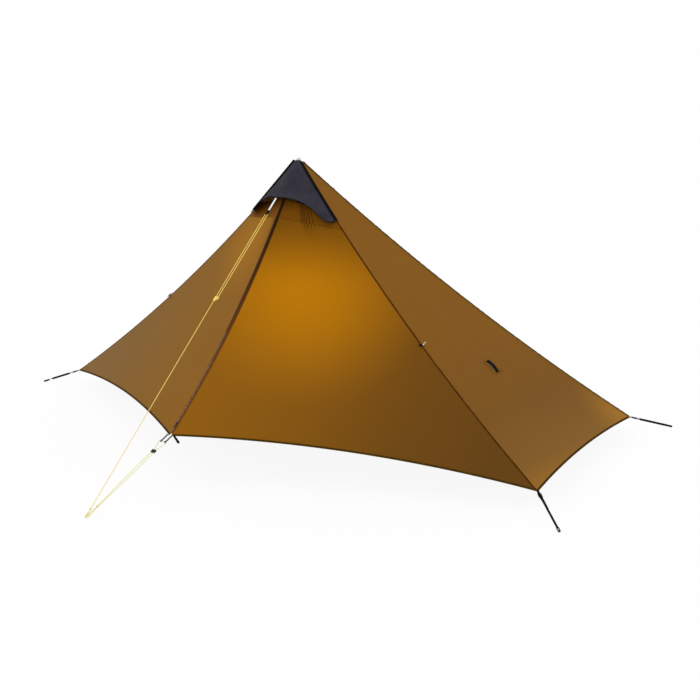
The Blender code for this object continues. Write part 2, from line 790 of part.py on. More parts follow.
def slider_ring(t):
    """The slider's section: a roof and a floor joined by a thin web between the coils."""
    roof_low = COIL_HEIGHT + SLIDER_CLEARANCE
    roof_high = roof_low + SLIDER_WALL
    floor_high = -SLIDER_CLEARANCE
    floor_low = floor_high - SLIDER_WALL
    lip_in = COIL_END + SLIDER_CLEARANCE
    lip_out = lip_in + SLIDER_LIP
    top_lip = TAPE_HIGH + SLIDER_CLEARANCE
    low_lip = TAPE_LOW - SLIDER_CLEARANCE

    def on_plane(x, q):
        return (x - q * math.sin(DOOR_SLOPE)) / math.cos(DOOR_SLOPE)

    half = [
        (on_plane(SLIDER_WEB, floor_high), floor_high),
        (lip_in, floor_high),
        (lip_in, low_lip),
        (lip_out, low_lip),
        (lip_out, floor_low),
    ]
    upper = [
        (lip_out, roof_high),
        (lip_out, top_lip),
        (lip_in, top_lip),
        (lip_in, roof_low),
        (on_plane(SLIDER_WEB, roof_low), roof_low),
    ]
    ring = [coil_place(1, t, on_plane(0, floor_low), floor_low)]
    ring += [coil_place(1, t, p, q) for p, q in reversed(half)]
    ring += [coil_place(1, t, p, q) for p, q in reversed(upper)]
    ring += [coil_place(1, t, on_plane(0, roof_high), roof_high)]
    ring += [coil_place(-1, t, p, q) for p, q in upper]
    ring += [coil_place(-1, t, p, q) for p, q in half]
    return ring


slider_half = SLIDER_LENGTH / 2 / (2 * ZIP_HALF_ANGLE * ZIP_RADIUS)
slider_rings = [slider_ring(SLIDER_PLACE + slider_half * share) for share in (-1, 0, 1)]
slider = add_piece("zip_slider", loft(slider_rings, "zip_slider"), BLACK_METAL, "zip_arc_centre")
slider_along, slider_out = zip_directions(SLIDER_PLACE)
lug_centre = zip_point(SLIDER_PLACE) + slider_out * LUG_RISE
lug_matrix = frame_matrix(lug_centre, X_AXIS, slider_along)
lug = cutter("slider_lug", "box", lug_matrix, LUG_SIZE)
lug_hole_matrix = lug_matrix @ Matrix.Rotation(math.radians(90), 4, "Y")
lug_hole_size = (LUG_HOLE_RADIUS, 3 * LUG_SIZE[0])
lug_hole = cutter("slider_lug_hole", "cylinder", lug_hole_matrix, lug_hole_size)
combine(slider, lug, "UNION")
combine(slider, lug_hole, "DIFFERENCE")

add_frame("zip_pull_pivot", lug_matrix)
pull_head = PULL_HALF_WIDTH - 0.3 * MM
slot_half, slot_low, slot_high = PULL_SLOT
pull_shoulder = slot_high + 2.4 * MM
pull_outline = [(-pull_head, -slot_low), (pull_head, -slot_low), (PULL_HALF_WIDTH, pull_shoulder)]
pull_outline += arc(0, PULL_REACH, PULL_TIP_RADIUS, 0, 180, 7) + [(-PULL_HALF_WIDTH, pull_shoulder)]
pull_slot = [(-slot_half, slot_low), (slot_half, slot_low)]
pull_slot += [(slot_half, slot_high), (-slot_half, slot_high)]
pull_loops = [pull_outline, pull_slot]
flat_outline("zip_pull", pull_loops, PULL_THICKNESS, BLACK_METAL, "zip_pull_pivot")


# Vent hood over the front of the peak

HOOD_BEAK = Vector((0, -HOOD_BEAK_REACH, PEAK_HEIGHT - HOOD_BEAK_DROP))


def mirrored(point, sign):
    return Vector((point.x * sign, point.y, point.z))


def brim_point(u):
    """The hood's front edge from the left tip (0) over the beak (0.5) to the right tip (1)."""
    sign = -1 if u < 0.5 else 1
    t = abs(2 * u - 1)
    tip = hood_edge("right", 1.0)
    handles = (HOOD_BEAK, HOOD_BEAK + HOOD_BEAK_HANDLE, tip + HOOD_TIP_HANDLE, tip)
    weights = ((1 - t) ** 3, 3 * t * (1 - t) ** 2, 3 * t * t * (1 - t), t**3)
    point = sum((handle * weight for handle, weight in zip(handles, weights)), Vector())
    return mirrored(point, sign)


def hood_edge(side, v):
    """The hood's side edge, standing just off the front ridge, from the crown down to the tip."""
    corner = side + "_front"
    start = HOOD_CROWN_RADIUS / Vector((FRONT_HALF_LENGTH, FRONT_SETBACK)).length
    t = mix(start, HOOD_TIP_AT_RIDGE, v)
    chord = CORNERS[corner] - APEX
    level = Vector((chord.x, chord.y, 0)).normalized()
    outward = Vector((-chord.z * level.x, -chord.z * level.y, chord.xy.length)).normalized()
    return ridge_point(corner, t) + outward * HOOD_STANDOFF


def crown_point(u):
    """The hood's small arc round the front of the peak."""
    left = hood_edge("left", 0.0)
    right = hood_edge("right", 0.0)
    reach = math.atan2(right.x, -right.y)
    angle = reach * (2 * u - 1)
    radius = right.xy.length
    height = mix(PEAK_HEIGHT - HOOD_CROWN_DROP, mix(left, right, 0.5).z, abs(2 * u - 1) ** 2)
    return Vector((radius * math.sin(angle), -radius * math.cos(angle), height))


HOOD = patch(
    lambda v: hood_edge("left", v), lambda v: hood_edge("right", v), crown_point, brim_point
)
HOOD_MARGIN = PIPING_RADIUS + 0.6 * MM


def hood_cloth(u, v):
    """The hood's surface, drawn in from the brim so that the piping runs outside it."""
    depth = (HOOD(u, 1) - HOOD(u, 0)).length
    return HOOD(u, v * (1 - 1.6 * HOOD_MARGIN / depth))


cloth("vent_hood", hood_cloth, (HOOD_MARGIN, HOOD_MARGIN), 20, 5, HOOD_CLOTH)

edge_steps = [0.04 + 0.96 * i / 7 for i in range(7)]
piping_points = [hood_edge("left", v) for v in edge_steps]
piping_points += [brim_point(i / 24) for i in range(25)]
piping_points += [hood_edge("right", v) for v in reversed(edge_steps)]
tube("hood_piping", piping_points, PIPING_RADIUS, BLACK_BINDING)


# Centre pole: tip, upper tube, cam clamp with its lever, sliding lower tube and foot

tip_shoulder = PEAK_HEIGHT - TIP_SHOULDER_DROP
upper_tube_top = tip_shoulder - TIP_SLEEVE
plug_radius = UPPER_TUBE_RADIUS - TUBE_WALL - SLIDING_CLEARANCE
tip_profile = [
    (0.0, PEAK_HEIGHT),
    (1.6 * MM, PEAK_HEIGHT),
    (2.5 * MM, PEAK_HEIGHT - 1.2 * MM),
    (TIP_STEM_RADIUS - 0.3 * MM, tip_shoulder + GROMMET_THICKNESS + 1.5 * MM),
    (TIP_STEM_RADIUS, tip_shoulder),
    (UPPER_TUBE_RADIUS - 0.8 * MM, tip_shoulder),
    (UPPER_TUBE_RADIUS, tip_shoulder - CHAMFER),
    (UPPER_TUBE_RADIUS, upper_tube_top + SLIDING_CLEARANCE),
    (plug_radius, upper_tube_top + SLIDING_CLEARANCE),
    (plug_radius, upper_tube_top - TIP_PLUG + 2 * CHAMFER),
    (plug_radius - CHAMFER, upper_tube_top - TIP_PLUG),
    (0.0, upper_tube_top - TIP_PLUG),
]
turned("pole_tip", tip_profile, PALE_PLASTIC, ROUND_STEPS)

grommet_foot = tip_shoulder + SLIDING_CLEARANCE
grommet_bore = TIP_STEM_RADIUS + 0.5 * MM
grommet_lip = 1.6 * MM
grommet_profile = [
    (grommet_bore + 2.5 * MM, grommet_foot + GROMMET_THICKNESS),
    (GROMMET_RADIUS - 1.0 * MM, grommet_foot + GROMMET_THICKNESS - 0.8 * MM),
    (GROMMET_RADIUS, grommet_foot + GROMMET_THICKNESS - 1.8 * MM),
    (GROMMET_RADIUS, grommet_foot + 1.0 * MM),
    (GROMMET_RADIUS - 1.0 * MM, grommet_foot),
    (grommet_bore, grommet_foot),
    (grommet_bore, grommet_foot + GROMMET_THICKNESS - grommet_lip),
    (grommet_bore + 1.0 * MM, grommet_foot + GROMMET_THICKNESS - 0.3 * MM),
]
turned("peak_grommet", grommet_profile, BLACK_METAL, ROUND_STEPS)


def pipe(name, radius, foot, top, frame_name=None):
    """A length of pole tube."""
    inner = radius - TUBE_WALL
    profile = [(radius, top), (radius, foot), (inner, foot), (inner, top)]
    return turned(name, profile, CARBON_TUBE, ROUND_STEPS, frame_name)


pipe("pole_upper_tube", UPPER_TUBE_RADIUS, UPPER_TUBE_FOOT, upper_tube_top)

add_frame("pole_slide", Matrix.Identity(4))
pipe(
    "pole_lower_tube",
    LOWER_TUBE_RADIUS,
    FOOT_SOCKET + SLIDING_CLEARANCE,
    LOWER_TUBE_TOP,
    "pole_slide",
)
foot_bore = LOWER_TUBE_RADIUS + SLIDING_CLEARANCE
foot_profile = [
    (0.0, FOOT_SOCKET),
    (foot_bore, FOOT_SOCKET),
    (foot_bore, FOOT_HEIGHT),
    (foot_bore + 1.5 * MM, FOOT_HEIGHT),
    (FOOT_RADIUS, FOOT_HEIGHT - 4.0 * MM),
    (FOOT_RADIUS, 5.0 * MM),
    (FOOT_RADIUS - 1.5 * MM, 0.0),
    (0.0, 0.0),
]
turned("pole_foot", foot_profile, BLACK_PLASTIC, ROUND_STEPS, "pole_slide")

clamp_low = UPPER_TUBE_FOOT - CLAMP_LAP
clamp_high = clamp_low + CLAMP_HEIGHT
clamp_step = UPPER_TUBE_FOOT - SLIDING_CLEARANCE
clamp_profile = [
    (UPPER_TUBE_RADIUS + SLIDING_CLEARANCE, clamp_high),
    (CLAMP_RADIUS - 1.5 * MM, clamp_high),
    (CLAMP_RADIUS, clamp_high - 3.0 * MM),
    (CLAMP_RADIUS, clamp_low + 3.0 * MM),
    (CLAMP_RADIUS - 2.0 * MM, clamp_low),
    (LOWER_TUBE_RADIUS + SLIDING_CLEARANCE, clamp_low),
    (LOWER_TUBE_RADIUS + SLIDING_CLEARANCE, clamp_step),
    (UPPER_TUBE_RADIUS + SLIDING_CLEARANCE, clamp_step),
]
clamp = turned("pole_clamp", clamp_profile, BLACK_PLASTIC, ROUND_STEPS)
clamp_middle = mix(clamp_low, clamp_high, 0.5)
lever_inner = CLAMP_RADIUS + 0.4 * MM
pin_reach = lever_inner + LEVER_EYE_RADIUS
PIN_ANGLE = math.radians(-125)
pin_place = Vector((pin_reach * math.cos(PIN_ANGLE), pin_reach * math.sin(PIN_ANGLE), clamp_middle))
pin_matrix = Matrix.Translation(pin_place) @ Matrix.Rotation(PIN_ANGLE, 4, "Z")
add_frame("pole_lever_pin", pin_matrix)

ear_offset = LEVER_WIDTH / 2 + SLIDING_CLEARANCE + CLAMP_EAR_HEIGHT / 2
for name, sign in (("upper", 1), ("lower", -1)):
    ear_matrix = pin_matrix @ Matrix.Translation((0, 0, sign * ear_offset))
    ear = cutter("clamp_ear_" + name, "cylinder", ear_matrix, (LEVER_EYE_RADIUS, CLAMP_EAR_HEIGHT))
    neck_matrix = ear_matrix @ Matrix.Translation((-3.2 * MM, 0, 0))
    neck_size = (6.4 * MM, 1.9 * LEVER_EYE_RADIUS, CLAMP_EAR_HEIGHT)
    neck = cutter("clamp_neck_" + name, "box", neck_matrix, neck_size)
    combine(clamp, neck, "UNION")
    combine(clamp, ear, "UNION")
pin_height = 2 * (ear_offset + CLAMP_EAR_HEIGHT / 2 + 0.5 * MM)
pin = cutter("clamp_pin", "cylinder", pin_matrix, (LEVER_PIN_RADIUS, pin_height))
combine(clamp, pin, "UNION")
slit_turn = Matrix.Rotation(PIN_ANGLE - math.radians(35), 4, "Z")
slit_shift = Matrix.Translation((CLAMP_RADIUS, 0, clamp_low + CLAMP_HEIGHT / 2 - 4.0 * MM))
slit_size = (2 * CLAMP_RADIUS, CLAMP_SLIT, CLAMP_HEIGHT - 6.0 * MM)
slit = cutter("clamp_slit", "box", slit_turn @ slit_shift, slit_size)
combine(clamp, slit, "DIFFERENCE")

lever_outer = lever_inner + LEVER_THICKNESS
meet = lever_outer**2 + pin_reach**2 - LEVER_EYE_RADIUS**2
meet = meet / (2 * lever_outer * pin_reach)
meet_angle = math.degrees(math.acos(meet))
meet_on_eye = math.degrees(
    math.atan2(
        lever_outer * math.sin(math.radians(meet_angle)),
        lever_outer * math.cos(math.radians(meet_angle)) - pin_reach,
    )
)
lever_loop = arc(pin_reach, 0, LEVER_EYE_RADIUS, -180, meet_on_eye, 12)
lever_loop += arc(0, 0, lever_outer, meet_angle, LEVER_SWEEP, 13)[1:]
lever_loop += arc(0, 0, lever_inner + 0.6 * MM, LEVER_SWEEP + 5, LEVER_SWEEP + 5, 2)[:1]
lever_loop += arc(0, 0, lever_inner, LEVER_SWEEP, 6, 12)
lever_points = [(x - pin_reach, y) for x, y in lever_loop]
lever_hole = arc(0, 0, LEVER_PIN_RADIUS + 0.4 * MM, 0, 330, 12)
flat_outline("pole_lever", [lever_points, lever_hole], LEVER_WIDTH, BLACK_METAL, "pole_lever_pin")


# Guy line from the peak to the ground: strap with an eye, cord, and its sliding tensioner

GUY_TOP = APEX - Z_AXIS * GUY_LINE_TOP_DROP
GUY_ALONG = (GROUND_POINT - GUY_TOP).normalized()
GUY_LENGTH = (GROUND_POINT - GUY_TOP).length
guy_matrix = frame_matrix(GUY_TOP, GUY_ALONG, X_AXIS)
add_frame("guy_line", guy_matrix)

strap_half = GUY_STRAP_THICKNESS / 2
eye_height = CORD_RADIUS + CORD_CLEARANCE
eye_centre = GUY_STRAP_END - GUY_EYE_WALL - GUY_EYE_HALF
eye_outer = eye_height + GUY_EYE_WALL
strap_side = [(GUY_STRAP_START, strap_half), (eye_centre - 9 * MM, strap_half)]
strap_side += [(eye_centre - 4.6 * MM, 2.7 * MM)]
strap_loop = [(x, -y) for x, y in strap_side]
strap_loop += arc(eye_centre + GUY_EYE_HALF - eye_height, 0, eye_outer, -75, 75, 8)
strap_loop += strap_side[::-1]
strap_eye = stadium(eye_centre, GUY_EYE_HALF, eye_height)
turn_up = Matrix.Rotation(math.radians(90), 4, "X")
flat_outline(
    "guy_strap", [strap_loop, strap_eye], GUY_STRAP_WIDTH, BLACK_WEBBING, "guy_line", turn_up
)


def guy_place(along, across, normal=0.0):
    """A point by its distance down the guy line, its offset in X and its height off the line."""
    return guy_matrix @ Vector((along, across, normal))


bend_centre = eye_centre + STRAND_OFFSET - 1.3 * MM
tensioner_start = GUY_STRAP_END + TENSIONER_FROM_STRAP
return_start = bend_centre + 2.0 * MM


def main_strand_x(along):
    """The long strand's offset: even as far as the tensioner, then closing to nothing at the ground."""
    even_end = tensioner_start + TENSIONER_LENGTH + 10.0 * MM
    if along < even_end:
        return -STRAND_OFFSET
    return -STRAND_OFFSET * (GUY_LENGTH - along) / (GUY_LENGTH - even_end)


knot_along = GUY_LENGTH - 45.0 * MM
reach_y = GROUND_POINT.y
guy_route = [
    Vector((-3.8 * MM, reach_y + 26.5 * MM, 22.5 * MM)),
    Vector((-5.2 * MM, reach_y + 18.0 * MM, 13.5 * MM)),
    Vector((-4.2 * MM, reach_y + 8.5 * MM, 10.5 * MM)),
    Vector((0.0, reach_y + 3.5 * MM, 10.0 * MM)),
    Vector((4.2 * MM, reach_y + 8.5 * MM, 10.5 * MM)),
    Vector((5.0 * MM, reach_y + 18.0 * MM, 13.5 * MM)),
    Vector((2.2 * MM, reach_y + 26.0 * MM, 23.5 * MM)),
    guy_place(knot_along, main_strand_x(knot_along)),
    guy_place(GUY_LENGTH - 65.0 * MM, main_strand_x(GUY_LENGTH - 65.0 * MM)),
]
upper_run = mix(tensioner_start, bend_centre, 0.5)
lower_run = mix(GUY_LENGTH, tensioner_start, 0.5)
tensioner_end = tensioner_start + TENSIONER_LENGTH
for along in (lower_run, tensioner_end, tensioner_start, upper_run, bend_centre + 20.0 * MM):
    guy_route.append(guy_place(along, main_strand_x(along)))
for turn in range(0, 181, 30):
    offset = -STRAND_OFFSET * math.cos(math.radians(turn))
    rise = STRAND_OFFSET * math.sin(math.radians(turn))
    guy_route.append(guy_place(bend_centre - rise, offset))
guy_route.append(guy_place(return_start - 0.3 * MM, STRAND_OFFSET))
tube("guy_cord", smooth_route(guy_route, 3.2 * MM), CORD_RADIUS, YELLOW_CORD)

return_end = tensioner_start + 7.0 * MM
return_route = [
    guy_place(return_start, STRAND_OFFSET),
    guy_place(mix(return_start, return_end, 0.5), STRAND_OFFSET),
    guy_place(return_end, STRAND_OFFSET),
]
tube("guy_return_cord", smooth_route(return_route, 8.0 * MM), CORD_RADIUS, YELLOW_CORD)

tensioner_matrix = guy_matrix @ Matrix.Translation((tensioner_start, 0, 0))
add_frame("guy_tensioner_slide", tensioner_matrix)
strand_x = main_strand_x(tensioner_start + TENSIONER_LENGTH / 2)
tensioner_outline = [
    (0.0, CHAMFER - TENSIONER_HALF_WIDTH),
    (2 * CHAMFER, -TENSIONER_HALF_WIDTH),
    (TENSIONER_LENGTH - 2 * CHAMFER, strand_x - TENSIONER_WALL - 0.6 * CHAMFER),
    (TENSIONER_LENGTH, strand_x - TENSIONER_WALL),
    (TENSIONER_LENGTH, strand_x + TENSIONER_WALL),
    (TENSIONER_LENGTH - 2 * CHAMFER, strand_x + TENSIONER_WALL + 0.8 * CHAMFER),
    (8.5 * MM, TENSIONER_HALF_WIDTH - 0.4 * CHAMFER),
    (2 * CHAMFER, TENSIONER_HALF_WIDTH),
    (0.0, TENSIONER_HALF_WIDTH - CHAMFER),
]
tensioner_window = [
    (9.0 * MM, -0.9 * MM),
    (6.0 * MM, 1.9 * MM),
    (3.0 * MM, 1.9 * MM),
    (3.0 * MM, -0.9 * MM),
]
tensioner = as_mesh(
    flat_outline(
        "guy_tensioner",
        [tensioner_outline, tensioner_window],
        TENSIONER_THICKNESS,
        YELLOW_PLASTIC,
        "guy_tensioner_slide",
    )
)
tensioner.data.materials.append(YELLOW_PLASTIC)
bore_radius = CORD_RADIUS + CORD_CLEARANCE
lie_along = Matrix.Rotation(math.radians(90), 4, "Y")
for name, offset in (("main", strand_x), ("return", STRAND_OFFSET)):
    middle = tensioner_matrix @ Matrix.Translation((TENSIONER_LENGTH / 2, offset, 0)) @ lie_along
    bore = cutter("tensioner_" + name, "cylinder", middle, (bore_radius, 2 * TENSIONER_LENGTH))
    combine(tensioner, bore, "DIFFERENCE")


# Front line: webbing eye and hook on the doors, cord ring, line lok and ground cord

LINE_START = FRONT_POINT + Vector((0, -6.0 * MM, 0))
FRONT_ALONG = (GROUND_POINT - LINE_START).normalized()
FRONT_LENGTH = (GROUND_POINT - LINE_START).length
front_matrix = frame_matrix(LINE_START, FRONT_ALONG, X_AXIS)
front_pivot = LINE_START + FRONT_ALONG * (FRONT_LENGTH - LOOP_FROM_GROUND)
add_frame("front_line_pivot", frame_matrix(front_pivot, X_AXIS, Y_AXIS))


def front_place(along, across, normal=0.0):
    """A point by its distance down the front line, its offset in X and its height off the line."""
    return front_matrix @ Vector((along, across, normal))


def door_fitting(name, loops, width, look, side):
    """A flat-sided fitting on a door's corner, cut from an outline in the line's upright plane."""
    sign = SIDES[side]
    world = front_matrix @ Matrix.Translation((0, sign * TAB_OFFSET, 0)) @ turn_up
    piece = flat_outline(name, loops, width, look, side + "_door_hinge")
    piece.matrix_basis = FRAMES[side + "_door_hinge"].inverted() @ world
    return piece


tab_half = 1.2 * MM
tab_eye = CORD_RADIUS + CORD_CLEARANCE + 0.3 * MM
tab_outer = tab_eye + EYE_TAB_WALL
tab_side = [(FITTING_START, tab_half), (FRONT_RING_DISTANCE - 11 * MM, tab_half)]
tab_loop = [(x, -y) for x, y in tab_side]
tab_loop += arc(FRONT_RING_DISTANCE, 0, tab_outer, -125, 125, 14)
tab_loop += tab_side[::-1]
tab_hole = arc(FRONT_RING_DISTANCE, 0, tab_eye, 0, 330, 12)
tab_loops = [tab_loop, tab_hole]
door_fitting("left_door_eye_tab", tab_loops, EYE_TAB_WIDTH, GREY_WEBBING, "left")

hook_inner = CORD_RADIUS + CORD_CLEARANCE
hook_outer = hook_inner + HOOK_WALL
hook_loop = [(FITTING_START, -1.3 * MM), (FRONT_RING_DISTANCE - 9 * MM, -1.5 * MM)]
hook_loop += arc(FRONT_RING_DISTANCE, 0, hook_outer, -150, 118, 16)
hook_loop += [
    (FRONT_RING_DISTANCE - 4.6 * MM, 4.6 * MM),
    (FRONT_RING_DISTANCE - 5.4 * MM, 3.2 * MM),
]
hook_loop += arc(FRONT_RING_DISTANCE, 0, hook_inner, 118, -130, 14)
hook_loop += [(FRONT_RING_DISTANCE - 8 * MM, 1.3 * MM), (FITTING_START, 1.3 * MM)]
door_fitting("right_door_hook", [hook_loop], HOOK_WIDTH, BLACK_METAL, "right")

ring_route = [
    front_place(LINE_LOK_DISTANCE + 4.0 * MM, -RING_STRAND_X),
    front_place(LINE_LOK_DISTANCE - 3.0 * MM, -RING_STRAND_X - 0.4 * MM),
    front_place(LINE_LOK_DISTANCE - 22.0 * MM, -RING_HALF * 0.62),
    front_place(FRONT_RING_DISTANCE + 10.0 * MM, -RING_HALF + 0.8 * MM),
    front_place(FRONT_RING_DISTANCE + 2.8 * MM, -RING_HALF + 0.6 * MM),
    front_place(FRONT_RING_DISTANCE, -RING_HALF + 3.6 * MM),
    front_place(FRONT_RING_DISTANCE, -TAB_OFFSET),
]
ring_route += [front_place(FRONT_RING_DISTANCE, 0.0)]
ring_tail = [Vector((-point.x, point.y, point.z)) for point in ring_route[:-1]]
ring_route += ring_tail[::-1]
tube(
    "front_ring_cord",
    smooth_route(ring_route, 4.0 * MM),
    CORD_RADIUS,
    YELLOW_CORD,
    "front_line_pivot",
)

lok_rim = 2.4 * MM
lok_corner = 2.0 * MM
lok_foot = LINE_LOK_DISTANCE + LINE_LOK_LENGTH
lok_outline = rounded_box(LINE_LOK_DISTANCE, lok_foot, LINE_LOK_HALF_WIDTH, lok_corner)
window_half = LINE_LOK_HALF_WIDTH - lok_rim
upper_ends = (LINE_LOK_DISTANCE + 2.6 * MM, LINE_LOK_DISTANCE + 6.4 * MM)
lower_ends = (lok_foot - 6.4 * MM, lok_foot - 2.6 * MM)
upper_window = rounded_box(*upper_ends, window_half, lok_corner / 2, 3)
lower_window = rounded_box(*lower_ends, window_half, lok_corner / 2, 3)
lok_piece = flat_outline(
    "front_line_lok",
    [lok_outline, upper_window, lower_window],
    LINE_LOK_THICKNESS,
    BLACK_PLASTIC,
    "front_line_pivot",
)
lok_piece.matrix_basis = FRAMES["front_line_pivot"].inverted() @ front_matrix
lok = as_mesh(lok_piece)
lok.data.materials.append(BLACK_PLASTIC)
for name, along, offset in (
    ("upper_left", LINE_LOK_DISTANCE, -RING_STRAND_X),
    ("upper_right", LINE_LOK_DISTANCE, RING_STRAND_X),
    ("lower_left", lok_foot, -GROUND_STRAND_X),
    ("lower_right", lok_foot, GROUND_STRAND_X),
):
    middle = front_matrix @ Matrix.Translation((along, offset, 0)) @ lie_along
    bore = cutter("lok_" + name, "cylinder", middle, (bore_radius, 9.0 * MM))
    combine(lok, bore, "DIFFERENCE")

front_knot = FRONT_LENGTH - FRONT_KNOT_FROM_GROUND
strand_route = [
    front_place(lok_foot - 4.0 * MM, -GROUND_STRAND_X),
    front_place(lok_foot + 4.0 * MM, -GROUND_STRAND_X),
    front_place(mix(lok_foot, front_knot, 0.35), -7.2 * MM),
    front_place(mix(lok_foot, front_knot, 0.7), -4.6 * MM),
    front_place(front_knot, -2.4 * MM),
    front_place(FRONT_LENGTH - 56.0 * MM, -2.6 * MM),
    front_place(FRONT_LENGTH - 40.0 * MM, -4.4 * MM),
    front_place(FRONT_LENGTH - 24.0 * MM, -6.4 * MM),
    front_place(FRONT_LENGTH - LOOP_FROM_GROUND - 5.0 * MM, -5.4 * MM),
]
front_route = strand_route + [front_place(FRONT_LENGTH - LOOP_FROM_GROUND, 0.0)]
front_route += [Vector((-point.x, point.y, point.z)) for point in reversed(strand_route)]
tube(
    "front_cord",
    smooth_route(front_route, 6.0 * MM, 4),
    CORD_RADIUS,
    YELLOW_CORD,
    "front_line_pivot",
)

tie_top = hem_line(FRONT_POINT, CORNERS["right_front"], DOOR_HEM_RISE)(0.012)
tie_origin = tie_top - Z_AXIS * 3.0 * MM
tie_matrix = frame_matrix(tie_origin, Vector((0.35, 0, -1)), Vector((1, 0, 0.35)))
tie_half = TIE_TAB_RADIUS - CHAMFER
tie_end = TIE_TAB_LENGTH + TIE_TAB_RADIUS + CHAMFER
tie_loop = [(0.0, -tie_half), (TIE_TAB_LENGTH, -tie_half)]
tie_loop += arc(tie_end, 0, TIE_TAB_RADIUS, -120, 120, 9)
tie_loop += [(TIE_TAB_LENGTH, tie_half), (0.0, tie_half)]
tie = flat_outline(
    "right_door_tie_tab", [tie_loop], TIE_TAB_THICKNESS, BLACK_WEBBING, "right_door_hinge"
)
tie.matrix_basis = FRAMES["right_door_hinge"].inverted() @ tie_matrix


# Corner fittings: a sewn tab, a ladder lock, the adjusting strap and the peg loop at its end


def strap_frame(corner):
    """X down the strap from the corner, tilted so that the loop's lower edge meets the ground."""
    bearing, length = CORNER_STRAPS[corner]
    reach = math.hypot(length, PEG_LOOP_HEIGHT / 2)
    tilt = math.asin(CORNER_HEIGHT / reach) - math.atan2(PEG_LOOP_HEIGHT / 2, length)
    turn = math.radians(bearing)
    level = Vector((math.cos(turn), math.sin(turn), 0))
    along = level * math.cos(tilt) - Z_AXIS * math.sin(tilt)
    return frame_matrix(CORNERS[corner], along, Z_AXIS.cross(level))


def corner_set(corner):
    """All the pieces that hold one corner down."""
    frame_name = corner + "_strap_frame"
    add_frame(frame_name, strap_frame(corner))
    length = CORNER_STRAPS[corner][1]
    wrap = LOCK_THICKNESS / 2 + LOCK_BAR_CLEARANCE + WEBBING_THICKNESS / 2

    bar = LOCK_START + 2.0 * MM
    tab_path = [(1.0 * MM, 0.8 * MM)] + arc(bar, 0, wrap, 90, -90, 9) + [(1.0 * MM, -0.8 * MM)]
    tab_name = corner + "_corner_tab"
    band(tab_name, tab_path, WEBBING_WIDTH, WEBBING_THICKNESS, BLACK_WEBBING, frame_name)

    outline = rounded_box(LOCK_START, LOCK_START + LOCK_LENGTH, LOCK_WIDTH / 2, 2.0 * MM, 3)
    slot_half = LOCK_WIDTH / 2 - LOCK_RIM
    slots = []
    for low, high in LOCK_SLOTS:
        slots.append(rounded_box(LOCK_START + low, LOCK_START + high, slot_half, 0.8 * MM, 2))
    loops = [outline, *slots]
    lock_name = corner + "_ladder_lock"
    flat_outline(lock_name, loops, LOCK_THICKNESS, BLACK_PLASTIC, frame_name)

    middle_bar = LOCK_START + mix(LOCK_SLOTS[0][1], LOCK_SLOTS[1][0], 0.5)
    strap_end = length - PEG_LOOP_LENGTH - SLIDING_CLEARANCE
    path = [(TAIL_END, 1.4 * MM), (0.06, 2.2 * MM), (LOCK_START + 26.0 * MM, wrap)]
    path += arc(middle_bar, 0, wrap, 90, 270, 9)
    path += [(LOCK_START + 26.0 * MM, -wrap + 0.3 * MM), (0.06, 0.0), (TAIL_END, 0.0)]
    path += [(strap_end, 0.0)]
    band(
        corner + "_peg_strap", path, WEBBING_WIDTH, WEBBING_THICKNESS, BLACK_WEBBING, frame_name
    )

    base = length - PEG_LOOP_LENGTH
    half = PEG_LOOP_WIDTH / 2
    neck = WEBBING_WIDTH / 2
    corner_radius = 4.5 * MM
    loop = [(base, -neck), (base + 6.0 * MM, -neck)]
    loop += arc(length - corner_radius, corner_radius - half, corner_radius, -90, 0, 5)
    loop += arc(length - corner_radius, half - corner_radius, corner_radius, 0, 90, 5)
    loop += [(base + 6.0 * MM, neck), (base, neck)]
    inner_half = half - PEG_LOOP_WALL
    inner_end = length - PEG_LOOP_WALL
    inner_radius = 2.2 * MM
    hole = [(base + 9.0 * MM, -1.6 * MM)]
    hole += arc(inner_end - inner_radius, inner_radius - inner_half, inner_radius, -90, 0, 4)
    hole += arc(inner_end - inner_radius, inner_half - inner_radius, inner_radius, 0, 90, 4)
    hole += [(base + 9.0 * MM, 1.6 * MM)]
    loop_name = corner + "_peg_loop"
    flat_outline(loop_name, [loop, hole], PEG_LOOP_HEIGHT, BLACK_WEBBING, frame_name)


for corner in CORNER_STRAPS:
    corner_set(corner)


# Side guy-out loops on the end panels, and toggles on the front ridges


def side_loop(side):
    """A webbing loop down the fall line of an end panel, arched off the cloth."""
    u, v = SIDE_LOOP_PLACE
    _, down, normal = surface_axes(ENDS[side], u, v)
    fall = (-Z_AXIS + normal * normal.z).normalized()
    frame_name = side + "_guy_out_frame"
    add_frame(frame_name, frame_matrix(ENDS[side](u, v), fall, normal.cross(fall)))
    half = SIDE_LOOP_LENGTH / 2
    path = []
    for i in range(13):
        x = mix(-half, half, i / 12)
        rise = math.cos(math.pi * x / SIDE_LOOP_LENGTH) ** 2
        base = SIDE_LOOP_CLEARANCE + SIDE_LOOP_THICKNESS / 2
        path.append((x, base + SIDE_LOOP_STANDOFF * rise))
    name = side + "_guy_out_loop"
    band(name, path, SIDE_LOOP_WIDTH, SIDE_LOOP_THICKNESS, BLACK_WEBBING, frame_name)


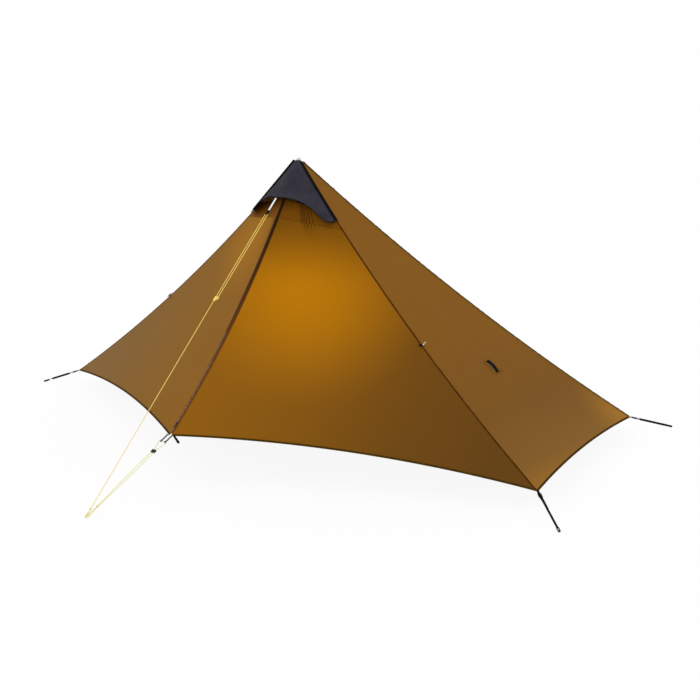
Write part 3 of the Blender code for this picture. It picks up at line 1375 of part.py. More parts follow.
def ridge_toggle(side):
    """A short cord over the front ridge with a bar toggle on its upstanding end."""
    corner = side + "_front"
    place = ridge_point(corner, TOGGLE_PLACE)
    down = (ridge_point(corner, TOGGLE_PLACE + 0.001) - place).normalized()
    outward = Vector((-down.z * down.x, -down.z * down.y, down.x**2 + down.y**2)).normalized()
    to_end = outward.cross(down) * (-1 if side == "left" else 1)
    matrix = frame_matrix(place, to_end, outward)
    route = [(-9.0, 3.0), (-5.0, 3.3), (0.0, 3.4), (4.5, 3.0), (7.6, 3.3), (9.2, 5.0)]
    route += [(9.5, 7.0), (9.5, 9.5), (9.5, 12.0)]
    points = [matrix @ Vector((x * MM, y * MM, 0)) for x, y in route]
    tube(side + "_toggle_loop", smooth_route(points, 2.4 * MM), TOGGLE_CORD_RADIUS, BLACK_BINDING)

    pivot = matrix @ Vector((9.5 * MM, 8.0 * MM, 0))
    frame_name = side + "_toggle_pivot"
    add_frame(frame_name, frame_matrix(pivot, down, outward))
    waist = TOGGLE_RADIUS - 0.3 * MM
    half = TOGGLE_LENGTH / 2
    profile = [
        (0.0, half),
        (TOGGLE_RADIUS - 0.8 * MM, half),
        (TOGGLE_RADIUS, half - 1.0 * MM),
        (waist, 0.0),
        (TOGGLE_RADIUS, -half + 1.0 * MM),
        (TOGGLE_RADIUS - 0.8 * MM, -half),
        (0.0, -half),
    ]
    toggle = turned(side + "_toggle", profile, PALE_PLASTIC, 12, frame_name)
    toggle.data.transform(FRAMES[frame_name])
    toggle.matrix_basis = Matrix.Rotation(math.radians(90), 4, "Y")
    stem = frame_matrix(pivot, down, outward) @ Matrix.Rotation(math.radians(90), 4, "X")
    hole = cutter(side + "_toggle_hole", "cylinder", stem, (TOGGLE_CORD_RADIUS + 0.4 * MM, 8.0 * MM))
    combine(toggle, hole, "DIFFERENCE")


for side in SIDES:
    side_loop(side)
    ridge_toggle(side)
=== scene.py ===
"""An ultralight solo tent, pitched: its cloth, tapes, zip, webbing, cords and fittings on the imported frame.

Metres, +Z up. X runs along the tent, -Y is the front with its zip, and the pole stands at the origin.
"""

import math

import bmesh
import bpy
import numpy as np
from mathutils import Matrix, Vector, noise


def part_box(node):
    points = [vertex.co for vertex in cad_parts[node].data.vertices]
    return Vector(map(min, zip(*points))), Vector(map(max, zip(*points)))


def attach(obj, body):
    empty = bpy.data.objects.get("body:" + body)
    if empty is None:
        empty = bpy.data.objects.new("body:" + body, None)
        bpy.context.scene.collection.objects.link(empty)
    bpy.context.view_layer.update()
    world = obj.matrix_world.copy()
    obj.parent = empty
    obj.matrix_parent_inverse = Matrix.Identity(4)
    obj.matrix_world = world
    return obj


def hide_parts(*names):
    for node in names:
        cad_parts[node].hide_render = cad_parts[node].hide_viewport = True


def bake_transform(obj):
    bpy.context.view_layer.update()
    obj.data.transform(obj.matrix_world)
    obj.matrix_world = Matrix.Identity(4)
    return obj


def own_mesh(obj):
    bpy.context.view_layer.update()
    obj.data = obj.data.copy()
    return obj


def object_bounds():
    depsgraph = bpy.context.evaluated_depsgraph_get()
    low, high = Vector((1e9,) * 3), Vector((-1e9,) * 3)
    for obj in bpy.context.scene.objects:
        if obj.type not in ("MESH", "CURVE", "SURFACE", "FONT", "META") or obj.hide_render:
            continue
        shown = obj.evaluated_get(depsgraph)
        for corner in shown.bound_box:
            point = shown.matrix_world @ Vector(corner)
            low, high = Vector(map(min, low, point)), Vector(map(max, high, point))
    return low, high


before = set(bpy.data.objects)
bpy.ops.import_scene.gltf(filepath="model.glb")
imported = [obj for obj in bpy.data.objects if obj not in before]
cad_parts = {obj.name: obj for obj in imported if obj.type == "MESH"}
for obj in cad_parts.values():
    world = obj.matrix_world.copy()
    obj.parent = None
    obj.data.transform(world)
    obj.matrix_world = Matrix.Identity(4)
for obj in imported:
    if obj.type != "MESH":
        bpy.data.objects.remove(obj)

cad_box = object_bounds()


# Centre pole. Two wound carbon tubes, the lower one sliding in the upper, held by a moulded clamp with
# a lacquered lever. The pale nylon tip at its head stands up through the metal ring in the canopy's peak.

MM = 0.001
ROUND = 48
TUBE_WALL = 0.65 * MM
FIT_GAP = 0.3 * MM
DOME_RADIUS = 10.2 * MM
DOME_HEIGHT = 7.5 * MM
DOME_SKIRT = 10.0 * MM
DOME_FOOT = 10.8 * MM
TIP_STEM_RADIUS = 4.0 * MM
TIP_SHOULDER = 1.2277
TIP_SHOULDER_RADIUS = 7.4 * MM
PLUG_TAPER = 1.5 * MM
GROMMET_BORE_RADIUS = 4.5 * MM
GROMMET_LIP = 1.3 * MM
FOOT_RIM = 1.5 * MM
FOOT_GROOVE_HEIGHT = 15.0 * MM
FOOT_GROOVE_HALF = 1.0 * MM
FOOT_GROOVE_DEPTH = 0.8 * MM
SOLE_CHAMFER = (1.5 * MM, 5.0 * MM)
CARBON_DARK = "#1D1D20"
CARBON_LIGHT = "#323236"
WINDING_PITCH = 9.0 * MM
PALE_NYLON = "#D8D6DD"
BLACK_ACETAL = "#101012"
BLACK_LACQUER = "#1A1614"
GRAIN = 0.6 * MM
SHINE_SPREAD = 0.07
PEEL_PITCH = 1.5 * MM


def linear(code):
    """An sRGB hex colour as linear red, green and blue, with an alpha of one."""
    channels = [int(code[i : i + 2], 16) / 255 for i in (1, 3, 5)]
    return (*[c / 12.92 if c <= 0.04045 else ((c + 0.055) / 1.055) ** 2.4 for c in channels], 1.0)


def add(tree, kind, settings=(), links=()):
    """Adds a node. Settings are its properties, its unlinked inputs or its ramp's stops."""
    node = tree.nodes.new(kind)
    for name, value in dict(settings).items():
        if name == "stops":
            ramp = node.color_ramp
            for position, code in value[1:-1]:
                ramp.elements.new(position).color = linear(code)
            ramp.elements[0].position, ramp.elements[0].color = value[0][0], linear(value[0][1])
            ramp.elements[-1].position, ramp.elements[-1].color = value[-1][0], linear(value[-1][1])
        elif isinstance(name, str) and name.islower():
            setattr(node, name, value)
        else:
            node.inputs[name].default_value = value
    for name, source in dict(links).items():
        tree.links.new(source, node.inputs[name])
    return node


def start_material(name, sockets):
    """A Principled material with these sockets set: the material, its node tree and its shader."""
    made = bpy.data.materials.new(name)
    made.use_nodes = True
    shader = made.node_tree.nodes["Principled BSDF"]
    for socket, value in sockets.items():
        shader.inputs[socket].default_value = linear(value) if isinstance(value, str) else value
    return made, made.node_tree, shader


def roughened(tree, shader, source, height, distance):
    """Leads a height pattern to the shader as a bump of that many metres."""
    bump = add(tree, "ShaderNodeBump", {"Strength": height, "Distance": distance}, {"Height": source})
    tree.links.new(bump.outputs["Normal"], shader.inputs["Normal"])


def moulded(name, colour, roughness):
    """Injection-moulded nylon or acetal: even colour, satin, with the fine grain of a sparked mould."""
    sockets = {"Base Color": colour, "Roughness": roughness, "Specular IOR Level": 0.25}
    made, tree, shader = start_material(name, sockets)
    place = add(tree, "ShaderNodeTexCoord")
    grain = add(
        tree,
        "ShaderNodeTexNoise",
        {"Scale": 1 / GRAIN, "Detail": 3.0},
        {"Vector": place.outputs["Object"]},
    )
    cloud = add(
        tree,
        "ShaderNodeTexNoise",
        {"Scale": 1 / (25 * GRAIN), "Detail": 2.0},
        {"Vector": place.outputs["Object"]},
    )
    shine = add(
        tree,
        "ShaderNodeMapRange",
        {"To Min": roughness - SHINE_SPREAD, "To Max": roughness + SHINE_SPREAD},
        {"Value": cloud.outputs["Fac"]},
    )
    tree.links.new(shine.outputs["Result"], shader.inputs["Roughness"])
    roughened(tree, shader, grain.outputs["Fac"], 0.25, 0.05 * MM)
    return made


def lacquered(name, colour):
    """Die-cast zinc under a dark lacquer: half glossy, with a faint orange-peel."""
    sockets = {"Base Color": colour, "Roughness": 0.4, "Specular IOR Level": 0.25}
    made, tree, shader = start_material(name, sockets)
    place = add(tree, "ShaderNodeTexCoord")
    peel = add(
        tree,
        "ShaderNodeTexNoise",
        {"Scale": 1 / PEEL_PITCH, "Detail": 1.0},
        {"Vector": place.outputs["Object"]},
    )
    roughened(tree, shader, peel.outputs["Fac"], 0.2, 0.03 * MM)
    return made


def carbon_winding():
    """Carbon fibre wound round a mandrel under clear resin: crossing bands, dark and a little less dark."""
    made, tree, shader = start_material("wound_carbon_tube", {"Roughness": 0.28, "Coat Weight": 0.5})
    place = add(tree, "ShaderNodeTexCoord")
    parts = add(tree, "ShaderNodeSeparateXYZ", {}, {0: place.outputs["Object"]})
    turn = add(
        tree, "ShaderNodeMath", {"operation": "ARCTAN2"}, {0: parts.outputs["Y"], 1: parts.outputs["X"]}
    )
    bands = []
    for hand in (-1, 1):
        climb = add(
            tree,
            "ShaderNodeMath",
            {"operation": "MULTIPLY", 1: hand * 2 * math.pi / WINDING_PITCH},
            {0: parts.outputs["Z"]},
        )
        angle = add(tree, "ShaderNodeMath", {}, {0: turn.outputs[0], 1: climb.outputs[0]})
        bands.append(add(tree, "ShaderNodeMath", {"operation": "SINE"}, {0: angle.outputs[0]}))
    weave = add(
        tree, "ShaderNodeMath", {"operation": "MULTIPLY"}, {0: bands[0].outputs[0], 1: bands[1].outputs[0]}
    )
    stops = [(0.35, CARBON_DARK), (0.65, CARBON_LIGHT)]
    level = add(tree, "ShaderNodeMapRange", {"From Min": -1.0}, {"Value": weave.outputs[0]})
    tint = add(tree, "ShaderNodeValToRGB", {"stops": stops}, {"Fac": level.outputs["Result"]})
    tree.links.new(tint.outputs["Color"], shader.inputs["Base Color"])
    return made


def as_piece(bm, name, finish, sharp=35):
    """Ends a bmesh as a piece, shaded smooth across all but its sharp edges."""
    mesh = bpy.data.meshes.new(name)
    bm.to_mesh(mesh)
    bm.free()
    mesh.shade_smooth()
    mesh.set_sharp_from_angle(angle=math.radians(sharp))
    mesh.materials.append(finish)
    piece = bpy.data.objects.new(name, mesh)
    bpy.context.scene.collection.objects.link(piece)
    return piece


def settle(piece, body, slot, *nodes):
    """A finished piece rides on its body and stands for its CAD nodes; its slot is not used."""
    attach(piece, body)
    if nodes:
        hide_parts(*nodes)
    return piece


def round_edges(bm, width, least_angle=30, segments=2):
    """Rounds every edge where two faces meet at more than the least angle."""
    bm.normal_update()
    sharp = [
        edge
        for edge in bm.edges
        if len(edge.link_faces) == 2 and edge.calc_face_angle(0.0) > math.radians(least_angle)
    ]
    bmesh.ops.bevel(
        bm,
        geom=sharp,
        offset=width,
        offset_type="OFFSET",
        segments=segments,
        profile=0.5,
        affect="EDGES",
        clamp_overlap=True,
        material=-1,
    )


def turned(name, profile, finish, rounding):
    """A round piece about the pole's own axis from an outline of (radius, height)."""
    bm = bmesh.new()
    ring = [bm.verts.new((radius, 0, height)) for radius, height in profile]
    edges = [bm.edges.new(pair) for pair in zip(ring, ring[1:])]
    if profile[0][0] or profile[-1][0]:
        edges.append(bm.edges.new((ring[-1], ring[0])))
    bmesh.ops.spin(
        bm,
        geom=ring + edges,
        cent=(0, 0, 0),
        axis=(0, 0, 1),
        angle=2 * math.pi,
        steps=ROUND,
        use_merge=True,
    )
    bmesh.ops.remove_doubles(bm, verts=bm.verts, dist=0.001 * MM)
    bmesh.ops.recalc_face_normals(bm, faces=bm.faces)
    if rounding:
        round_edges(bm, rounding)
    return as_piece(bm, name, finish)


def softened(name, node, width, finish):
    """A moulded or cast piece: the node's own solid with its hard edges rounded."""
    bm = bmesh.new()
    bm.from_mesh(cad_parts[node].data)
    bmesh.ops.remove_doubles(bm, verts=bm.verts, dist=0.005 * MM)
    bmesh.ops.dissolve_limit(
        bm, angle_limit=math.radians(1), verts=bm.verts, edges=bm.edges, delimit={"NORMAL"}
    )
    round_edges(bm, width)
    bmesh.ops.triangulate(bm, faces=[face for face in bm.faces if len(face.verts) > 4])
    return as_piece(bm, name, finish)


carbon = carbon_winding()
pale_plastic = moulded("moulded_pale_nylon", PALE_NYLON, 0.42)
black_plastic = moulded("moulded_black_acetal", BLACK_ACETAL, 0.45)
black_metal = lacquered("black_lacquered_zinc", BLACK_LACQUER)

for tube_node, tube_body in (("pole_upper_tube", "root"), ("pole_lower_tube", "pole_lower")):
    low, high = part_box(tube_node)
    outline = [
        (high.x, high.z),
        (high.x, low.z),
        (high.x - TUBE_WALL, low.z),
        (high.x - TUBE_WALL, high.z),
    ]
    pipe = turned(tube_node + "_wound", outline, carbon, 0.15 * MM)
    settle(pipe, tube_body, "pole_tube", tube_node)

low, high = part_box("pole_tip")
tube_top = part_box("pole_upper_tube")[1].z + FIT_GAP
plug_radius = high.x - TUBE_WALL - FIT_GAP
tip_outline = [
    (0.0, high.z),
    (4.0 * MM, high.z - 0.3 * MM),
    (7.6 * MM, high.z - 1.8 * MM),
    (9.6 * MM, high.z - 4.4 * MM),
    (DOME_RADIUS, high.z - DOME_HEIGHT),
    (DOME_RADIUS, high.z - DOME_SKIRT),
    (DOME_RADIUS - 1.2 * MM, high.z - DOME_FOOT),
    (TIP_STEM_RADIUS, high.z - DOME_FOOT),
    (TIP_STEM_RADIUS, TIP_SHOULDER),
    (TIP_SHOULDER_RADIUS, TIP_SHOULDER),
    (high.x, TIP_SHOULDER - 1.0 * MM),
    (high.x, tube_top),
    (plug_radius, tube_top),
    (plug_radius, low.z + PLUG_TAPER),
    (high.x - TUBE_WALL - PLUG_TAPER, low.z),
    (0.0, low.z),
]
tip = turned("pole_tip_moulded", tip_outline, pale_plastic, 0.3 * MM)
settle(tip, "root", "pale_plastic", "pole_tip")

low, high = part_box("peak_grommet")
grommet_outline = [
    (7.0 * MM, high.z),
    (high.x - 1.5 * MM, high.z - 0.5 * MM),
    (high.x, high.z - 2.0 * MM),
    (high.x, low.z + 1.0 * MM),
    (high.x - 1.0 * MM, low.z),
    (GROMMET_BORE_RADIUS, low.z),
    (GROMMET_BORE_RADIUS, high.z - GROMMET_LIP),
    (GROMMET_BORE_RADIUS + 0.7 * MM, high.z - 0.4 * MM),
]
grommet = turned("peak_grommet_pressed", grommet_outline, black_metal, 0.3 * MM)
settle(grommet, "root", "dark_metal", "peak_grommet")

low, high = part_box("pole_foot")
socket_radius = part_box("pole_lower_tube")[1].x + FIT_GAP
socket_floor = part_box("pole_lower_tube")[0].z - FIT_GAP
foot_outline = [
    (0.0, socket_floor),
    (socket_radius, socket_floor),
    (socket_radius, high.z),
    (socket_radius + FOOT_RIM, high.z),
    (high.x, high.z - 4.0 * MM),
    (high.x, FOOT_GROOVE_HEIGHT + FOOT_GROOVE_HALF),
    (high.x - FOOT_GROOVE_DEPTH, FOOT_GROOVE_HEIGHT),
    (high.x, FOOT_GROOVE_HEIGHT - FOOT_GROOVE_HALF),
    (high.x, SOLE_CHAMFER[1]),
    (high.x - SOLE_CHAMFER[0], 0.0),
    (0.0, 0.0),
]
foot = turned("pole_foot_moulded", foot_outline, black_plastic, 0.4 * MM)
settle(foot, "pole_lower", "black_plastic", "pole_foot")

clamp = softened("pole_clamp_moulded", "pole_clamp", 0.4 * MM, black_plastic)
settle(clamp, "root", "black_plastic", "pole_clamp")
lever = softened("pole_lever_cast", "pole_lever", 0.5 * MM, black_metal)
settle(lever, "pole_lever", "dark_metal", "pole_lever")


# Canopy cloth. Five panels and a narrow vent sill of thin nylon, coated on both faces, cut with hollow
# edges so that they pull taut between the peak, the corners and the zip, and sewn edge to edge.

PEAK = np.array((0.0, 0.0, 1.25))
FRONT_HALF_LENGTH = 1.335
FRONT_SETBACK = 0.185
REAR_HALF_LENGTH = 1.245
REAR_DEPTH = 0.85
CORNER_HEIGHT = 0.08
FRONT_POINT = np.array((0.0, -0.84, 0.205))
FRONT_RIDGE_SAG = 0.050
REAR_RIDGE_SAG = 0.039
ZIP_SAG = 0.050
DOOR_HEM_RISE = 0.043
END_HEM_RISE = 0.025
REAR_HEM_RISE = 0.050
DOOR_TOP_AT_ZIP = 0.211
DOOR_TOP_AT_RIDGE = 0.2188
SILL_TOP_AT_ZIP = 0.145
SILL_TOP_AT_RIDGE = 0.165
SILL_LAP = 0.228
END_PANEL_TOP = 0.0095
REAR_PANEL_TOP = 0.022
CLOTH_THICKNESS = 0.4 * MM
CLOTH_DEPTH = 0.5 * MM
SEAM_GAP = 0.4 * MM
ZIP_GAP = 5.0 * MM
# How far the grid's columns crowd towards a panel's edges.
CLUSTER = 0.6
SLACK = 2.2 * MM
# Folds across a panel, folds down it, and their strength.
SLACK_FOLDS = ((6.0, 1.3, 1.0), (15.0, 3.0, 0.35))
SLACK_SEEDS = {"left_end": 3.0, "left_door": 8.0, "right_end": 11.0, "right_door": 16.0, "rear": 23.0}
PUCKER = 1.1 * MM
PUCKER_LENGTH = 35.0 * MM
PUCKER_START = 6.0 * MM
PUCKER_REACH = 30.0 * MM
CREASE_DEPTH = 3.0 * MM
CREASE_SHADE = 0.3
RIPSTOP_SPACING = 6.0 * MM
RIPSTOP_SHARE = 0.06
CRINKLE_SPACING = 45.0 * MM
CRINKLE_HEIGHT = 1.2 * MM
CLOUD_SPACING = 0.22
CLOUD_SPREAD = 0.04
WAVE_LENGTH_AT_ONE = math.pi / 10
TOP_SHADE_LOW = 0.74
TOP_SHADE_HIGH = 1.02
# The share of a surface over which its slope is read.
STEP = 0.0005
CORNERS = {
    "left_front": np.array((-FRONT_HALF_LENGTH, -FRONT_SETBACK, CORNER_HEIGHT)),
    "right_front": np.array((FRONT_HALF_LENGTH, -FRONT_SETBACK, CORNER_HEIGHT)),
    "left_rear": np.array((-REAR_HALF_LENGTH, REAR_DEPTH, CORNER_HEIGHT)),
    "right_rear": np.array((REAR_HALF_LENGTH, REAR_DEPTH, CORNER_HEIGHT)),
}
SIDES = {"left": -1, "right": 1}
# A point inside the tent, from which every outer face looks away.
MIDDLE = PEAK * (0, 0, 0.25)


def unit(vector):
    """Each row of coordinates as a direction of length one."""
    return vector / np.linalg.norm(vector, axis=-1, keepdims=True)


def dot(first, second):
    """The dot product of each row, kept as a column."""
    return np.sum(first * second, axis=-1, keepdims=True)


def mix(first, second, amount):
    """From the first (0) to the second (1), and on beyond them."""
    return first + (second - first) * amount


def ridge_point(corner, t):
    """Points on the sagging seam from the peak (0) to a corner (1)."""
    chord = CORNERS[corner] - PEAK
    level = np.array((chord[0], chord[1], 0.0))
    reach = np.linalg.norm(level)
    inward = unit(np.array((chord[2] * level[0] / reach, chord[2] * level[1] / reach, -reach)))
    sag = FRONT_RIDGE_SAG if "front" in corner else REAR_RIDGE_SAG
    return PEAK + chord * t + inward * (4 * sag * t * (1 - t))


ZIP_CHORD = FRONT_POINT - PEAK
ZIP_LENGTH = np.linalg.norm(ZIP_CHORD)
ZIP_ALONG = unit(ZIP_CHORD)
ZIP_OUTWARD = np.cross(ZIP_ALONG, (1.0, 0.0, 0.0))
ZIP_RADIUS = (ZIP_LENGTH**2 / 4 + ZIP_SAG**2) / (2 * ZIP_SAG)
ZIP_HALF_ANGLE = math.asin(ZIP_LENGTH / 2 / ZIP_RADIUS)
ZIP_CENTRE = PEAK + ZIP_CHORD / 2 + ZIP_OUTWARD * (ZIP_RADIUS - ZIP_SAG)


def zip_point(t):
    """Points on the zip's arc from the peak (0) to the front point (1)."""
    angle = (2 * t - 1) * ZIP_HALF_ANGLE
    return ZIP_CENTRE + ZIP_RADIUS * (ZIP_ALONG * np.sin(angle) - ZIP_OUTWARD * np.cos(angle))


def hem_line(start, end, rise):
    """A hem that arches up between two ends, as a function of the share of its way."""
    chord = unit(end - start)
    up = PEAK - start
    up = unit(up - chord * dot(up, chord))
    return lambda u: mix(start, end, u) + up * (4 * rise * u * (1 - u))


def patch(left, right, top, bottom):
    """A surface (u, v) between four boundary curves, v running down."""

    def point(u, v):
        across = mix(left(v), right(v), u)
        down = mix(top(u), bottom(u), v)
        low = mix(bottom(0.0), bottom(1.0), u)
        return across + down - mix(mix(top(0.0), top(1.0), u), low, v)

    return point


def line(first, second):
    """A straight boundary curve between two points."""
    return lambda t: mix(first, second, t)


def span(curve, start, end=1.0):
    """The stretch of a curve between two of its shares, as a curve of its own."""
    return lambda t: curve(mix(start, end, t))


def door_surface(side):
    """A door from the zip (u = 0) to its front ridge (u = 1)."""
    corner = side + "_front"
    zip_edge = span(zip_point, DOOR_TOP_AT_ZIP)
    ridge_edge = span(lambda t: ridge_point(corner, t), DOOR_TOP_AT_RIDGE)
    hem = hem_line(FRONT_POINT, CORNERS[corner], DOOR_HEM_RISE)
    return patch(zip_edge, ridge_edge, line(zip_edge(0.0), ridge_edge(0.0)), hem)


def end_surface(side):
    """An end panel from the front ridge (u = 0) to the rear ridge (u = 1)."""
    front = span(lambda t: ridge_point(side + "_front", t), END_PANEL_TOP)
    rear = span(lambda t: ridge_point(side + "_rear", t), END_PANEL_TOP)
    hem = hem_line(CORNERS[side + "_front"], CORNERS[side + "_rear"], END_HEM_RISE)
    return patch(front, rear, line(front(0.0), rear(0.0)), hem)


def rear_surface():
    """The rear panel from the right ridge (u = 0) to the left ridge (u = 1)."""
    right = span(lambda t: ridge_point("right_rear", t), REAR_PANEL_TOP)
    left = span(lambda t: ridge_point("left_rear", t), REAR_PANEL_TOP)
    hem = hem_line(CORNERS["right_rear"], CORNERS["left_rear"], REAR_HEM_RISE)
    return patch(right, left, line(right(0.0), left(0.0)), hem)


def sill_point(u, v):
    """The fixed cloth over the top of the zip, folded in the middle; its foot laps under the doors."""
    share = abs(2 * u - 1)
    at_zip = zip_point(mix(SILL_TOP_AT_ZIP, SILL_LAP, v))
    right = ridge_point("right_front", mix(SILL_TOP_AT_RIDGE, SILL_LAP, v))
    left = right * np.array((-1.0, 1.0, 1.0))
    return mix(at_zip, np.where(u < 0.5, left, right), share)


def surface_axes(surface, u, v):
    """Unit directions across and down a surface, and its normal, turned out of the tent."""
    across = unit(surface(u + STEP, v) - surface(u - STEP, v))
    down = unit(surface(u, v + STEP) - surface(u, v - STEP))
    normal = unit(np.cross(across, down))
    outward = dot(normal, surface(u, v) - MIDDLE)
    return across, down, normal * np.where(outward < 0, -1.0, 1.0)


def inset(surface, v, gap, at_end):
    """The share of the width that keeps an edge of the cloth the gap away from its seam line."""
    u = 1 - STEP if at_end else STEP
    across, down, _ = surface_axes(surface, u, np.clip(v, STEP, 1 - STEP))
    width = np.linalg.norm(surface(1.0, v) - surface(0.0, v), axis=-1, keepdims=True)
    return gap / (width * np.linalg.norm(np.cross(across, down), axis=-1, keepdims=True))


def noise_at(*columns):
    """Smooth noise between -1 and 1 at places given as columns of coordinates."""
    return np.array([[noise.noise(Vector(place))] for place in np.hstack(columns)])


def slack_in(seed):
    """How far a panel's cloth stands off its even surface: soft tension folds and seam puckers."""

    def height(u, v, width, drop):
        middle = np.sin(math.pi * np.clip(u, 0, 1)) * np.sin(math.pi * np.clip(v, 0, 1))
        lot = np.full_like(u, seed)
        folds = sum(share * noise_at(u * wide, v * high, lot) for wide, high, share in SLACK_FOLDS)
        near = np.minimum(np.clip(np.minimum(u, 1 - u), 0, 1) * width, np.clip(1 - v, 0, 1) * drop)
        fade = np.exp(-near / PUCKER_REACH) * (1 - np.exp(-near / PUCKER_START))
        ripples = noise_at(v * drop / PUCKER_LENGTH, u * width / PUCKER_LENGTH, lot)
        return SLACK * middle**0.6 * folds + PUCKER * fade * ripples

    return height


def cloth_panel(name, surface, gaps, height, finish, columns=110, rows=140, folds=None):
    """A sheet of cloth over a surface, with its slack, its folds, a map of its cut and a thin wall."""
    bm = bmesh.new()
    bmesh.ops.create_grid(bm, x_segments=columns, y_segments=rows, size=0.5)
    share = np.array([[vert.co.x + 0.5] for vert in bm.verts])
    v = np.array([[0.5 - vert.co.y] for vert in bm.verts])
    share -= CLUSTER * np.sin(2 * math.pi * share) / (2 * math.pi)
    low = inset(surface, v, gaps[0], False)
    high = 1 - inset(surface, v, gaps[1], True)
    u = mix(low, high, share)
    places = surface(u, v)
    _, _, normals = surface_axes(surface, u, v)
    width = np.linalg.norm(surface(1.0, v) - surface(0.0, v), axis=-1, keepdims=True)
    drop = np.linalg.norm(surface(0.5, 1.0) - surface(0.5, 0.0))
    stand = height(u, v, width, drop)
    depth = folds(u, v) if folds else np.zeros_like(u)
    places = places + normals * (stand - CLOTH_DEPTH - depth * CREASE_DEPTH)
    foot = surface(0.0, 1.0)
    side_way = unit(surface(1.0, 1.0) - foot)
    out_way = surface_axes(surface, 0.5, 0.5)[2]
    up_way = np.cross(out_way, side_way)
    for vert, place in zip(bm.verts, places):
        vert.co = place
    cut = bm.loops.layers.uv.new("cut")
    flat = np.hstack((dot(places - foot, side_way), dot(places - foot, up_way)))
    for face in bm.faces:
        for corner in face.loops:
            corner[cut].uv = flat[corner.vert.index]
    bm.normal_update()
    bm.faces.ensure_lookup_table()
    if Vector(out_way).dot(bm.faces[len(bm.faces) // 2].normal) < 0:
        bmesh.ops.reverse_faces(bm, faces=bm.faces)
    piece = as_piece(bm, name, finish, 60)
    # The fold marks also darken the cloth's colour in its material, as painted shade.
    marks = piece.data.attributes.new("fold", "FLOAT", "POINT")
    marks.data.foreach_set("value", np.clip(depth, 0, 1).astype(np.float32).ravel())
    wall = piece.modifiers.new("cloth", "SOLIDIFY")
    wall.thickness = CLOTH_THICKNESS
    wall.offset = -1.0
    return piece


def cut_size(piece):
    """The flat width, length and area of a panel, from its map."""
    mesh = piece.data
    flat = np.zeros(len(mesh.loops) * 2, np.float32)
    mesh.uv_layers["cut"].data.foreach_get("uv", flat)
    size = np.ptp(flat.reshape(-1, 2), axis=0)
    return [float(size[0]), float(size[1])], float(sum(face.area for face in mesh.polygons))


